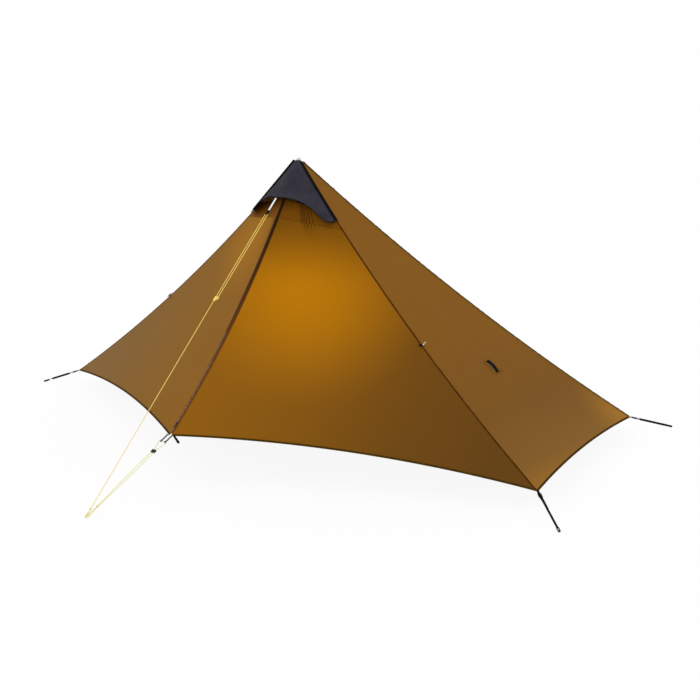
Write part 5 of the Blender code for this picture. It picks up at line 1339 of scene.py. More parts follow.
def crown_point(u):
    """The hood's small arc round the front of the peak."""
    left, right = hood_edge("left", 0.0), hood_edge("right", 0.0)
    from_middle = 2 * np.asarray(u, float) - 1
    angle = math.atan2(right[0], -right[1]) * from_middle
    radius = math.hypot(right[0], right[1])
    end_height = mix(left, right, 0.5)[2]
    height = mix(PEAK[2] - HOOD_CROWN_DROP, end_height, abs(from_middle) ** 2)
    x, y, z = radius * np.sin(angle), -radius * np.cos(angle), height
    return np.concatenate((x, y, z), axis=-1) if np.ndim(x) else np.array((x, y, z))


HOOD = patch(lambda v: hood_edge("left", v), lambda v: hood_edge("right", v), crown_point, brim_point)


def hood_slack(u, v, width, drop):
    """The stiff cloth's few soft dents."""
    middle = np.sin(math.pi * np.clip(u, 0, 1)) * np.sin(math.pi * np.clip(v, 0, 1)) ** 0.5
    return HOOD_DENTS * middle * noise_at(u * 5.0, v * 2.0, np.full_like(u, 31.0))


def frame_matrix(origin, x_axis, y_axis):
    """A placing matrix from an origin and two directions that are nearly square to each other."""
    x_way = Vector(x_axis).normalized()
    z_way = x_way.cross(Vector(y_axis)).normalized()
    rotation = Matrix((x_way, z_way.cross(x_way), z_way)).transposed()
    return Matrix.Translation(Vector(origin)) @ rotation.to_4x4()


def hood_weave():
    """Heavy coated polyester, dyed blue-grey: dull, with a tight plain weave and a slate cast."""
    made, tree, shader = start_material("hood_coated_cloth", {"Roughness": 0.85, "Specular IOR Level": 0.02})
    cut = add(tree, "ShaderNodeUVMap", {"uv_map": "cut"})
    place = add(tree, "ShaderNodeTexCoord")
    cloud = add(
        tree,
        "ShaderNodeTexNoise",
        {"Scale": 1 / HOOD_CLOUD_SPACING, "Detail": 3.0},
        {"Vector": place.outputs["Object"]},
    )
    tint = add(
        tree,
        "ShaderNodeValToRGB",
        {"stops": [(0.3, HOOD_DARK), (0.7, HOOD_LIGHT)]},
        {"Fac": cloud.outputs["Fac"]},
    )
    tree.links.new(tint.outputs["Color"], shader.inputs["Base Color"])
    weft = [
        add(
            tree,
            "ShaderNodeTexWave",
            {"bands_direction": way, "Scale": WAVE_LENGTH_AT_ONE / HOOD_WEAVE_SPACING},
            {"Vector": cut.outputs["UV"]},
        )
        for way in ("X", "Y")
    ]
    weave = add(
        tree,
        "ShaderNodeMath",
        {"operation": "MULTIPLY"},
        {0: weft[0].outputs["Fac"], 1: weft[1].outputs["Fac"]},
    )
    roughened(tree, shader, weave.outputs[0], 0.3, 0.12 * MM)
    return made


margins = (HOOD_MARGIN, HOOD_MARGIN)
hood = cloth_panel("vent_hood_cloth", HOOD, margins, hood_slack, hood_weave(), columns=90, rows=50)
settle(hood, "root", "hood_cloth", "vent_hood")
flat, area = cut_size(hood)

HOOD_BLACK = "#171517"
HOOD_BLACK_SHADE = "#0E0D0F"
BRIM_RADIUS = 1.5 * MM
PIPING_TOP = 0.04
HOOD_TAPE_ENDS = (0.03, 0.985)
HOOD_TAPE_WIDTH = 9.0 * MM
HOOD_TAPE_WALL = 0.8 * MM
HOOD_TAPE_LIFT = 1.6 * MM
EDGE_ROLL_RADIUS = {"left": 5.4 * MM, "right": 1.8 * MM}
EDGE_ROLL_LIFT = {"left": 4.4 * MM, "right": 0.0}
EDGE_STEPS = 30
BRIM_STEPS = 60
TAPE_STEPS = 40
STUD_PURPLE_BLACK = "#2A2233"
STUD_PLACE = (0.955, 0.88)
STUD_RADIUS = 7.0 * MM
STUD_HEIGHT = 2.4 * MM
STUD_SUNK = 0.5 * MM

binding_black = sewn_cloth("black_piping_tape", HOOD_BLACK, HOOD_BLACK_SHADE)
edge_shares = [mix(PIPING_TOP, 1.0, i / EDGE_STEPS) for i in range(EDGE_STEPS)]
piping_path = [hood_edge("left", v) for v in edge_shares]
piping_path += [brim_point(i / BRIM_STEPS) for i in range(BRIM_STEPS + 1)]
piping_path += [hood_edge("right", v) for v in reversed(edge_shares)]
piping = wire("hood_piping_tape", piping_path, BRIM_RADIUS, binding_black, 3)
settle(piping, "root", "binding_tape", "hood_piping")

for side in SIDES:
    rows = []
    for i in range(TAPE_STEPS + 1):
        v = mix(*HOOD_TAPE_ENDS, i / TAPE_STEPS)
        row = []
        for distance in np.linspace(0.5 * MM, HOOD_TAPE_WIDTH, 5):
            share = inset(HOOD, v, distance, side == "right")
            u = 1 - share if side == "right" else share
            _, _, normal = surface_axes(HOOD, u, v)
            row.append((HOOD(u, v) + normal * HOOD_TAPE_LIFT).reshape(3))
        rows.append(row)
    strip = skin(side + "_hood_binding", rows, binding_black, closed=False)
    wall = strip.modifiers.new("tape", "SOLIDIFY")
    wall.thickness = HOOD_TAPE_WALL
    wall.offset = 0.0
    settle(strip, "root", "binding_tape")
    roll_path = []
    for i in range(EDGE_STEPS + 1):
        share = i / EDGE_STEPS
        lift = EDGE_ROLL_LIFT[side] * (1 - share**3)
        roll_path.append(hood_edge(side, mix(HOOD_TAPE_ENDS[0], 1.0, share), lift))
    roll = wire(side + "_hood_edge_roll", roll_path, EDGE_ROLL_RADIUS[side], binding_black, 3)
    settle(roll, "root", "binding_tape")

stud_metal = lacquered("purple_black_stud", STUD_PURPLE_BLACK)
for side, u in (("left", 1 - STUD_PLACE[0]), ("right", STUD_PLACE[0])):
    bm = bmesh.new()
    bmesh.ops.create_cone(
        bm, cap_ends=True, segments=32, radius1=STUD_RADIUS, radius2=STUD_RADIUS * 0.7, depth=STUD_HEIGHT
    )
    round_edges(bm, 0.4 * MM)
    across, down, normal = surface_axes(HOOD, u, STUD_PLACE[1])
    spot = Vector(HOOD(u, STUD_PLACE[1]).reshape(3)) + Vector(normal) * (STUD_HEIGHT / 2 - STUD_SUNK)
    bm.transform(frame_matrix(spot, across, np.cross(normal, across)))
    stud = as_piece(bm, side + "_hood_stud", stud_metal)
    settle(stud, "root", "dark_metal")


# Webbing. Flat woven nylon, folded and sewn: corner tabs round the ladder locks, straps that thread
# the locks and hang out their tails, and the loops that take a peg. The locks are moulded acetal.

WEBBING_WIDTH = 10.0 * MM
WEBBING_THICKNESS = 1.0 * MM
WEBBING_BLACK = "#1C1C20"
WEBBING_BLACK_SHADE = "#0E0E10"
RIB_SPACING = 1.5 * MM
SPAN_SPACING = 4.0 * MM
TAB_UNDER_HEM = -9.0 * MM
TAB_FOLD = 1.0 * MM
LOCK_START = 12.0 * MM
LOCK_FIRST_BAR = 2.0 * MM
LOCK_MIDDLE_BAR = 11.0 * MM
LOCK_FOOT = 26.0 * MM
LOCK_THICKNESS = 3.0 * MM
LOCK_CLEARANCE = 0.9 * MM
TAIL_END = 0.100
PEG_LOOP_LENGTH = 32.0 * MM
PEG_LOOP_WIDTH = 14.0 * MM
PEG_LOOP_HEIGHT = 8.0 * MM
PEG_LOOP_WEBBING = 3.2 * MM
PEG_LOOP_END = 1.2 * MM
PEG_LOOP_BEND = 3.0 * MM
STRAP_LAP = 2.0 * MM
TAIL_SHARE = 0.5
TWIST_LENGTH = 0.018
# Where each strap turns on edge and where it lies flat again; 1.0 is past its end, so it never turns.
STRAP_TURNS = {
    "left_front": (0.050, 0.160),
    "right_front": (1.0, 1.0),
    "right_rear": (0.034, 1.0),
    "left_rear": (0.050, 0.160),
}
# Each strap's bearing in degrees, and its length from the corner to the end of its loop.
CORNER_STRAPS = {
    "left_front": (201.5, 0.2194),
    "right_front": (-38.2, 0.2248),
    "right_rear": (59.0, 0.2466),
    "left_rear": (124.4, 0.2437),
}


def webbing_weave(name, colour, shade, stripe=None):
    """Narrow nylon webbing: ribs across it, matt, with a pale reflective stripe where it has one."""
    made, tree, shader = start_material(name, {"Roughness": 0.85, "Specular IOR Level": 0.03})
    cut = add(tree, "ShaderNodeUVMap", {"uv_map": "cut"})
    ribs = add(
        tree,
        "ShaderNodeTexWave",
        {"bands_direction": "Y", "Scale": WAVE_LENGTH_AT_ONE / RIB_SPACING},
        {"Vector": cut.outputs["UV"]},
    )
    # The grooves between the ribs are painted darker as shade.
    tint = add(
        tree,
        "ShaderNodeValToRGB",
        {"stops": [(0.2, shade), (0.8, colour)]},
        {"Fac": ribs.outputs["Fac"]},
    )
    shown = tint.outputs["Color"]
    if stripe:
        mark = add(tree, "ShaderNodeAttribute", {"attribute_name": "stripe"})
        striped = add(
            tree,
            "ShaderNodeMix",
            {"data_type": "RGBA", 7: linear(stripe)},
            {0: mark.outputs["Fac"], 6: shown},
        )
        shown = striped.outputs[2]
    tree.links.new(shown, shader.inputs["Base Color"])
    roughened(tree, shader, ribs.outputs["Fac"], 0.5, 0.25 * MM)
    return made


def arc(centre_x, centre_y, radius, start, end, count):
    """Points on an arc in a plane, angles in degrees."""
    angles = [math.radians(start + (end - start) * i / (count - 1)) for i in range(count)]
    return [(centre_x + radius * math.cos(a), centre_y + radius * math.sin(a)) for a in angles]


def filled_in(path, spacing):
    """A path with more points on its long straight stretches."""
    result = [np.array(path[0], float)]
    for point in path[1:]:
        start = result[-1]
        step = np.array(point, float) - start
        count = max(1, round(float(np.linalg.norm(step)) / spacing))
        result += [start + step * i / count for i in range(1, count + 1)]
    return result


def webbing(name, matrix, path, width, thickness, finish, standing=False, twist=None):
    """A strap along (x, z) points of a frame, its width along Y, or standing on edge with Z as its width.

    A twist gives the angle by which it has turned about its own way, from its share of the length and x.
    """
    path = filled_in(path, SPAN_SPACING)
    rings = []
    edge = thickness / 2
    section = [(width / 2 - edge, edge), (width / 2, 0.0), (width / 2 - edge, -edge), (width / 4, -edge)]
    section += [(-width / 4, -edge), (-width / 2 + edge, -edge), (-width / 2, 0.0), (-width / 2 + edge, edge)]
    section += [(-width / 4, edge), (width / 4, edge)]
    for i, point in enumerate(path):
        before, after = path[max(i - 1, 0)], path[min(i + 1, len(path) - 1)]
        way = unit(after - before)
        side_way = np.array((-way[1], way[0]))
        turn = twist(i / (len(path) - 1), point[0]) if twist else 0.0
        ring = []
        for wide, thick in section:
            across = wide * math.cos(turn) - thick * math.sin(turn)
            x, lift = point + side_way * (wide * math.sin(turn) + thick * math.cos(turn))
            local = Vector((x, lift, across)) if standing else Vector((x, across, lift))
            ring.append(matrix @ local)
        rings.append(ring)
    return skin(name, rings, finish, sharp=50)


def strap_frame(corner):
    """X down the strap from the corner, tilted so that the loop's lower edge meets the ground."""
    bearing, length = CORNER_STRAPS[corner]
    reach = math.hypot(length, PEG_LOOP_HEIGHT / 2)
    tilt = math.asin(CORNER_HEIGHT / reach) - math.atan2(PEG_LOOP_HEIGHT / 2, length)
    turn = math.radians(bearing)
    level = Vector((math.cos(turn), math.sin(turn), 0))
    along = level * math.cos(tilt) - Vector((0, 0, 1)) * math.sin(tilt)
    return frame_matrix(CORNERS[corner], along, Vector((0, 0, 1)).cross(level))


def strap_twist(turns):
    """The strap lies flat through its lock, and stands on edge between two places below it."""

    def turned_by(share, x):
        if share < TAIL_SHARE:
            return 0.0
        steps = [min(1.0, max(0.0, (x - place) / TWIST_LENGTH)) for place in turns]
        return math.radians(90) * (steps[0] - steps[1])

    return turned_by


black_webbing = webbing_weave("black_nylon_webbing", WEBBING_BLACK, WEBBING_BLACK_SHADE)
for corner, (bearing, length) in CORNER_STRAPS.items():
    matrix = strap_frame(corner)
    along = matrix.to_3x3() @ Vector((1, 0, 0))
    wrap = LOCK_THICKNESS / 2 + LOCK_CLEARANCE + WEBBING_THICKNESS / 2
    tab_path = [(TAB_UNDER_HEM, 0.7 * MM), (TAB_FOLD, 0.8 * MM)]
    tab_path += arc(LOCK_START + LOCK_FIRST_BAR, 0, wrap, 90, -90, 13)
    tab_path += [(TAB_FOLD, -0.8 * MM), (TAB_UNDER_HEM, -0.9 * MM)]
    tab = webbing(
        corner + "_webbing_tab", matrix, tab_path, WEBBING_WIDTH, WEBBING_THICKNESS, black_webbing
    )
    settle(tab, "root", "black_webbing", corner + "_corner_tab")
    lock = softened(corner + "_ladder_lock_moulded", corner + "_ladder_lock", 0.5 * MM, black_plastic)
    settle(lock, "root", "black_plastic", corner + "_ladder_lock")
    middle_bar = LOCK_START + LOCK_MIDDLE_BAR
    lock_foot = LOCK_START + LOCK_FOOT
    base = length - PEG_LOOP_LENGTH
    strap_end = base + STRAP_LAP
    path = [(TAIL_END, 1.6 * MM), (0.08, 2.6 * MM), (0.06, 2.2 * MM), (lock_foot, wrap)]
    path += arc(middle_bar, 0, wrap, 90, 270, 13)
    path += [(lock_foot, -wrap + 0.3 * MM), (0.06, 0.0), (TAIL_END, 0.0), (strap_end, 0.0)]
    strap = webbing(
        corner + "_webbing_strap",
        matrix,
        path,
        WEBBING_WIDTH,
        WEBBING_THICKNESS,
        black_webbing,
        twist=strap_twist(STRAP_TURNS[corner]),
    )
    settle(strap, "root", "black_webbing", corner + "_peg_strap")
    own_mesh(strap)
    half = PEG_LOOP_WIDTH / 2 - PEG_LOOP_WEBBING
    bend = PEG_LOOP_BEND
    bend_at = length - PEG_LOOP_END - bend
    loop_side = [(base, 1.2 * MM), (base + 7.0 * MM, 2.4 * MM), (base + 15.0 * MM, half)]
    loop_path = [(x, -y) for x, y in loop_side]
    loop_path += arc(bend_at, bend - half, bend, -90, 0, 9) + arc(bend_at, half - bend, bend, 0, 90, 9)
    loop_path += loop_side[::-1]
    loop_name = corner + "_webbing_loop"
    loop = webbing(
        loop_name, matrix, loop_path, PEG_LOOP_HEIGHT, PEG_LOOP_WEBBING, black_webbing, standing=True
    )
    settle(loop, corner + "_peg_loop", "black_webbing", corner + "_peg_loop")


# Side guy-out loops. A webbing loop sewn down the middle of each end panel over a square of
# reinforcing cloth, to tie the wall out in wind.

SIDE_LOOP_PLACE = (0.485, 0.705)
SIDE_LOOP_LENGTH = 66.0 * MM
SIDE_LOOP_WIDTH = 24.0 * MM
SIDE_LOOP_THICKNESS = 2.8 * MM
SIDE_LOOP_BASE = 1.9 * MM
SIDE_LOOP_STANDOFF = 3.5 * MM
SIDE_LOOP_STEPS = 32
EDGING_OVERLENGTH = 1.08
EDGING_OVERWIDTH = 5.0 * MM
EDGING_THICKNESS = 0.5 * MM
EDGING_GREY = "#9A8C74"
EDGING_SHADE = "#857862"
PATCH_CORNERS = ((-0.045, -0.0225), (0.045, -0.0215), (0.045, 0.0225), (-0.045, 0.0235))
PATCH_STEPS = 12
PATCH_WALL = 0.6 * MM
PATCH_BROWN = "#84581D"
PATCH_SHADE = "#7A5019"

patch_cloth = sewn_cloth("reinforcing_patch_cloth", PATCH_BROWN, PATCH_SHADE)
grey_binding = sewn_cloth("grey_loop_edging", EDGING_GREY, EDGING_SHADE)
for side in SIDES:
    u, v = SIDE_LOOP_PLACE
    _, _, normal = surface_axes(ENDS[side], u, v)
    normal = Vector(normal)
    fall = (Vector((0, 0, -1)) + normal * normal.z).normalized()
    matrix = frame_matrix(ENDS[side](u, v), fall, normal.cross(fall))
    path = []
    for i in range(SIDE_LOOP_STEPS + 1):
        x = SIDE_LOOP_LENGTH * (i / SIDE_LOOP_STEPS - 0.5)
        rise = math.cos(math.pi * x / SIDE_LOOP_LENGTH) ** 2
        path.append((x, SIDE_LOOP_BASE + SIDE_LOOP_STANDOFF * rise))
    loop = webbing(
        side + "_guy_out_webbing", matrix, path, SIDE_LOOP_WIDTH, SIDE_LOOP_THICKNESS, black_webbing
    )
    settle(loop, "root", "black_webbing", side + "_guy_out_loop")
    under = [(x * EDGING_OVERLENGTH, lift - SIDE_LOOP_BASE) for x, lift in path]
    wide = SIDE_LOOP_WIDTH + EDGING_OVERWIDTH
    edging = webbing(side + "_guy_out_edging", matrix, under, wide, EDGING_THICKNESS, grey_binding)
    settle(edging, "root", "black_webbing")
    rows = []
    corners = np.array(PATCH_CORNERS)
    for i in range(PATCH_STEPS + 1):
        first = mix(corners[0], corners[3], i / PATCH_STEPS)
        last = mix(corners[1], corners[2], i / PATCH_STEPS)
        row = []
        for k in range(PATCH_STEPS + 1):
            place_u, place_v = np.array(SIDE_LOOP_PLACE) + mix(first, last, k / PATCH_STEPS)
            _, _, out = surface_axes(ENDS[side], place_u, place_v)
            row.append((ENDS[side](place_u, place_v) + out * PATCH_WALL).reshape(3))
        rows.append(row)
    reinforcement = skin(side + "_guy_out_patch", rows, patch_cloth, closed=False)
    wall = reinforcement.modifiers.new("cloth", "SOLIDIFY")
    wall.thickness = PATCH_WALL
    wall.offset = 0.0
    settle(reinforcement, "root", "canopy_cloth")


# Ridge toggles. A bar of white nylon on a loop of black cord, over a short tab sewn into each front
# ridge; it holds the door when the cloth is rolled back.

WHITE_NYLON = "#F4F2F6"
TOGGLE_BLACK = "#1C1C1F"
TOGGLE_PLACE = 0.57
TOGGLE_CORD_RADIUS = 1.6 * MM
# The cord's route across the ridge and off it, in millimetres, ending where the bar hangs.
TOGGLE_ROUTE = [(-9.0, 3.0), (-5.0, 3.3), (0.0, 3.4), (4.5, 3.0), (7.6, 3.3), (9.2, 5.0)]
TOGGLE_ROUTE += [(9.5, 7.0), (9.5, 9.5), (9.5, 12.0)]
TOGGLE_TURN = {"left": math.radians(-112), "right": math.radians(112)}
TOGGLE_STRETCH = 1.5
TOGGLE_TAB_LENGTH = 17.0 * MM
TOGGLE_TAB_WIDTH = 10.0 * MM
TOGGLE_TAB_THICKNESS = 1.2 * MM
TOGGLE_TAB_LIFT = 2.2 * MM


def smooth_route(points, spacing, most=6):
    """A smooth curve through chosen points, read at even steps and more sparsely on long spans."""
    route = [Vector(point) for point in points]
    padded = [2 * route[0] - route[1], *route, 2 * route[-1] - route[-2]]
    result = []
    for before, start, end, after in zip(padded, padded[1:], padded[2:], padded[3:]):
        gap = (end - start).length
        lead = (end - before) * gap / ((start - before).length + gap)
        trail = (after - start) * gap / ((after - end).length + gap)
        count = max(1, min(most, round(gap / spacing)))
        for i in range(count):
            t = i / count
            t2 = t * t
            t3 = t2 * t
            place = start * (2 * t3 - 3 * t2 + 1) + lead * (t3 - 2 * t2 + t)
            result.append(place + end * (3 * t2 - 2 * t3) + trail * (t3 - t2))
    return result + [route[-1]]


white_plastic = moulded("moulded_white_nylon", WHITE_NYLON, 0.42)
black_cord = webbing_weave("black_braided_cord", TOGGLE_BLACK, WEBBING_BLACK_SHADE)
for side in SIDES:
    corner = side + "_front"
    place = Vector(ridge_point(corner, TOGGLE_PLACE))
    down = (Vector(ridge_point(corner, TOGGLE_PLACE + 0.001)) - place).normalized()
    outward = Vector((-down.z * down.x, -down.z * down.y, down.x**2 + down.y**2)).normalized()
    to_end = outward.cross(down) * (-1 if side == "left" else 1)
    matrix = frame_matrix(place, to_end, outward)
    points = [matrix @ Vector((x * MM, y * MM, 0)) for x, y in TOGGLE_ROUTE]
    cord = wire(side + "_toggle_cord", smooth_route(points, 1.5 * MM), TOGGLE_CORD_RADIUS, black_cord, 3)
    settle(cord, "root", "binding_tape", side + "_toggle_loop")
    matrix = frame_matrix(place, to_end, down)
    upwards = (matrix.to_3x3() @ Vector((0, 0, 1))).dot(outward) > 0
    lift = TOGGLE_TAB_LIFT if upwards else -TOGGLE_TAB_LIFT
    tab_path = [(-TOGGLE_TAB_LENGTH, 0.6 * lift), (0.0, lift)]
    tab = webbing(
        side + "_toggle_tab", matrix, tab_path, TOGGLE_TAB_WIDTH, TOGGLE_TAB_THICKNESS, black_cord
    )
    settle(tab, "root", "binding_tape")
    bar = softened(side + "_toggle_bar", side + "_toggle", 0.3 * MM, white_plastic)
    middle = sum((Vector(point) for point in bar.bound_box), Vector()) / len(bar.bound_box)
    reshaping = Matrix.Rotation(TOGGLE_TURN[side], 4, outward) @ Matrix.Scale(TOGGLE_STRETCH, 4, down)
    bar.data.transform(Matrix.Translation(middle) @ reshaping @ Matrix.Translation(-middle))
    settle(bar, side + "_toggle", "pale_plastic", side + "_toggle")


# Guy line. From the peak, a black webbing strap with a reflective stripe ends in an eye; a braided
# cord runs from a loop at the ground up through the tensioner and the eye and back to the tensioner.

GUY_REACH = 1.305
GUY_LINE_TOP_DROP = 13.0 * MM
GUY_STRAP_START = 24.0 * MM
GUY_STRAP_END = 0.3035
GUY_STRAP_WIDTH = 13.0 * MM
GUY_STRAP_THICKNESS = 1.2 * MM
GUY_STRAP_BLACK = "#1E1E22"
GUY_STRAP_SHADE = "#111113"
STRIPE_WHITE = "#F4F3F6"
STRIPE_HALF = 4.0 * MM
STRIPE_END = GUY_STRAP_END - 26.0 * MM
TENSIONER_FROM_STRAP = 0.437
TENSIONER_LENGTH = 22.0 * MM
TENSIONER_YELLOW = "#F2D671"
STRAND_OFFSET = 6.0 * MM
CORD_RADIUS = 1.5 * MM
CORD_CLEARANCE = 0.45 * MM
CORD_SIDES = 10
CORD_YELLOW = "#FBDA60"
CORD_HIGHLIGHT = "#FCF4A8"
CORD_SHADE = "#EAC452"
BRAID_PITCH = 4.0 * MM
BRAID_STRANDS = 4.0
EYE_HALF = 3.6 * MM
EYE_WALL = 1.6 * MM
KNOT_STEPS = 48
KNOT_FROM_GROUND = 45.0 * MM


def braid(name, colour, pale, shade):
    """Braided polyester cord: two sets of strands crossing round it, with a painted highlight and shade."""
    made, tree, shader = start_material(name, {"Roughness": 0.6, "Specular IOR Level": 0.1})
    cut = add(tree, "ShaderNodeUVMap", {"uv_map": "cut"})
    parts = add(tree, "ShaderNodeSeparateXYZ", {}, {0: cut.outputs["UV"]})
    around = add(
        tree, "ShaderNodeMath", {"operation": "MULTIPLY", 1: 1 / CORD_RADIUS}, {0: parts.outputs["X"]}
    )
    strands = []
    for hand in (-1, 1):
        along = add(
            tree,
            "ShaderNodeMath",
            {"operation": "MULTIPLY", 1: hand * 2 * math.pi / BRAID_PITCH},
            {0: parts.outputs["Y"]},
        )
        angle = add(
            tree,
            "ShaderNodeMath",
            {"operation": "MULTIPLY_ADD", 1: BRAID_STRANDS},
            {0: around.outputs[0], 2: along.outputs[0]},
        )
        strands.append(add(tree, "ShaderNodeMath", {"operation": "SINE"}, {0: angle.outputs[0]}))
    weave = add(
        tree,
        "ShaderNodeMath",
        {"operation": "MULTIPLY"},
        {0: strands[0].outputs[0], 1: strands[1].outputs[0]},
    )
    level = add(tree, "ShaderNodeMapRange", {"From Min": -1.0}, {"Value": weave.outputs[0]})
    # The strands' tops are painted pale as highlight and the gaps between them darker as shade.
    tint = add(
        tree,
        "ShaderNodeValToRGB",
        {"stops": [(0.15, shade), (0.5, colour), (0.9, pale)]},
        {"Fac": level.outputs["Result"]},
    )
    tree.links.new(tint.outputs["Color"], shader.inputs["Base Color"])
    roughened(tree, shader, level.outputs["Result"], 0.5, 0.25 * MM)
    return made


def cord_mesh(name, points, radius, finish, sides=CORD_SIDES):
    """A round cord as a mesh tube, its sections carried along the path without twisting."""
    places = [Vector(point) for point in points]
    ways = []
    for i in range(len(places)):
        ways.append((places[min(i + 1, len(places) - 1)] - places[max(i - 1, 0)]).normalized())
    up = ways[0].orthogonal().normalized()
    rings = []
    for place, way in zip(places, ways):
        up = (up - way * up.dot(way)).normalized()
        out = way.cross(up)
        ring = []
        for i in range(sides):
            turn = 2 * math.pi * i / sides
            ring.append(place + up * radius * math.cos(turn) + out * radius * math.sin(turn))
        rings.append(ring)
    return skin(name, rings, finish)


def knot(name, centre, along, size, radius, finish):
    """An overhand knot drawn up small: a trefoil of cord round the standing part."""
    matrix = frame_matrix(centre, along, Vector((1, 0, 0)) if abs(along.x) < 0.9 else Vector((0, 1, 0)))
    points = []
    for i in range(KNOT_STEPS + 1):
        turn = 2 * math.pi * i / KNOT_STEPS
        x = size * 0.30 * (math.sin(turn) + 2 * math.sin(2 * turn))
        y = size * 0.30 * (math.cos(turn) - 2 * math.cos(2 * turn))
        z = size * 0.42 * -math.sin(3 * turn)
        points.append(matrix @ Vector((z * 1.3, x, y)))
    return cord_mesh(name, points, radius, finish, 8)


yellow_cord = braid("braided_yellow_cord", CORD_YELLOW, CORD_HIGHLIGHT, CORD_SHADE)
yellow_plastic = moulded("moulded_yellow_nylon", TENSIONER_YELLOW, 0.4)

GUY_TOP = Vector(PEAK) - Vector((0, 0, GUY_LINE_TOP_DROP))
GROUND_POINT = Vector((0, -GUY_REACH, 0))
GUY_ALONG = (GROUND_POINT - GUY_TOP).normalized()
GUY_LENGTH = (GROUND_POINT - GUY_TOP).length
guy_matrix = frame_matrix(GUY_TOP, GUY_ALONG, Vector((1, 0, 0)))
eye_height = CORD_RADIUS + CORD_CLEARANCE
eye_centre = GUY_STRAP_END - EYE_WALL - EYE_HALF


def guy_place(along, across, normal=0.0):
    """A point by its distance down the guy line, its offset in X and its height off the line."""
    return guy_matrix @ Vector((along, across, normal))


striped_webbing = webbing_weave(
    "reflective_black_webbing", GUY_STRAP_BLACK, GUY_STRAP_SHADE, STRIPE_WHITE
)
upper_layer = [(GUY_STRAP_START, 0.65 * MM), (eye_centre - 9 * MM, 0.65 * MM)]
upper_layer.append((eye_centre - 4.6 * MM, 1.9 * MM))
strap_path = list(upper_layer)
strap_path += arc(eye_centre + EYE_HALF - eye_height, 0, eye_height + EYE_WALL / 2, 80, -80, 13)
strap_path += [(x, -y) for x, y in reversed(upper_layer)]
guy_strap = webbing(
    "guy_webbing_strap", guy_matrix, strap_path, GUY_STRAP_WIDTH, GUY_STRAP_THICKNESS, striped_webbing
)
stripe = guy_strap.data.attributes.new("stripe", "FLOAT", "POINT")
inverse = guy_matrix.inverted()
stripe_values = []
for vert in guy_strap.data.vertices:
    local = inverse @ vert.co
    stripe_values.append(1.0 if abs(local.y) < STRIPE_HALF and local.x < STRIPE_END else 0.0)
stripe.data.foreach_set("value", np.array(stripe_values, np.float32))
settle(guy_strap, "root", "black_webbing", "guy_strap")

bend_centre = eye_centre + STRAND_OFFSET - 1.3 * MM
tensioner_start = GUY_STRAP_END + TENSIONER_FROM_STRAP
tensioner_end = tensioner_start + TENSIONER_LENGTH
return_start = bend_centre + 2.0 * MM


def main_strand_x(along):
    """The long strand's offset: even as far as the tensioner, then closing to nothing at the ground."""
    even_end = tensioner_end + 10.0 * MM
    if along < even_end:
        return -STRAND_OFFSET
    return -STRAND_OFFSET * (GUY_LENGTH - along) / (GUY_LENGTH - even_end)


knot_along = GUY_LENGTH - KNOT_FROM_GROUND
above_knot = GUY_LENGTH - 65.0 * MM
ground_y = GROUND_POINT.y
guy_route = [
    Vector((-3.8 * MM, ground_y + 26.5 * MM, 22.5 * MM)),
    Vector((-5.2 * MM, ground_y + 18.0 * MM, 13.5 * MM)),
    Vector((-4.2 * MM, ground_y + 8.5 * MM, 10.5 * MM)),
    Vector((0.0, ground_y + 3.5 * MM, 10.0 * MM)),
    Vector((4.2 * MM, ground_y + 8.5 * MM, 10.5 * MM)),
    Vector((5.0 * MM, ground_y + 18.0 * MM, 13.5 * MM)),
    Vector((2.2 * MM, ground_y + 26.0 * MM, 23.5 * MM)),
    guy_place(knot_along, main_strand_x(knot_along)),
    guy_place(above_knot, main_strand_x(above_knot)),
]
upper_run = mix(tensioner_start, bend_centre, 0.5)
lower_run = mix(GUY_LENGTH, tensioner_start, 0.5)
for along in (lower_run, tensioner_end, tensioner_start, upper_run, bend_centre + 20.0 * MM):
    guy_route.append(guy_place(along, main_strand_x(along)))
for turn in range(0, 181, 30):
    offset = -STRAND_OFFSET * math.cos(math.radians(turn))
    rise = STRAND_OFFSET * math.sin(math.radians(turn))
    guy_route.append(guy_place(bend_centre - rise, offset))
guy_route.append(guy_place(return_start - 0.3 * MM, STRAND_OFFSET))
guy_route = smooth_route(guy_route[::-1], 3.0 * MM, 24)
guy_cord = cord_mesh("guy_braided_cord", guy_route, CORD_RADIUS, yellow_cord)
settle(guy_cord, "root", "yellow_cord", "guy_cord")

return_end = tensioner_start + 7.0 * MM
return_route = [
    guy_place(return_start, STRAND_OFFSET),
    guy_place(mix(return_start, return_end, 0.5), STRAND_OFFSET),
    guy_place(return_end, STRAND_OFFSET),
]
return_route = smooth_route(return_route, 6.0 * MM, 40)
return_cord = cord_mesh("guy_return_braid", return_route, CORD_RADIUS, yellow_cord)
settle(return_cord, "root", "yellow_cord", "guy_return_cord")

tensioner = softened("guy_tensioner_moulded", "guy_tensioner", 0.5 * MM, yellow_plastic)
settle(tensioner, "guy_tensioner", "yellow_plastic", "guy_tensioner")

guy_knot = knot("guy_loop_knot", guy_place(knot_along, 0.0), GUY_ALONG, 3.6 * MM, CORD_RADIUS, yellow_cord)
settle(guy_knot, "root", "yellow_cord")


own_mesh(return_cord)


# Front line. A grey webbing eye on the left door and a black hook on the right one hold a ring of
# cord; it comes from a line lok, below which a doubled cord runs down to its loop at the ground. A
# short black tie hangs from the right door's hem beside them.

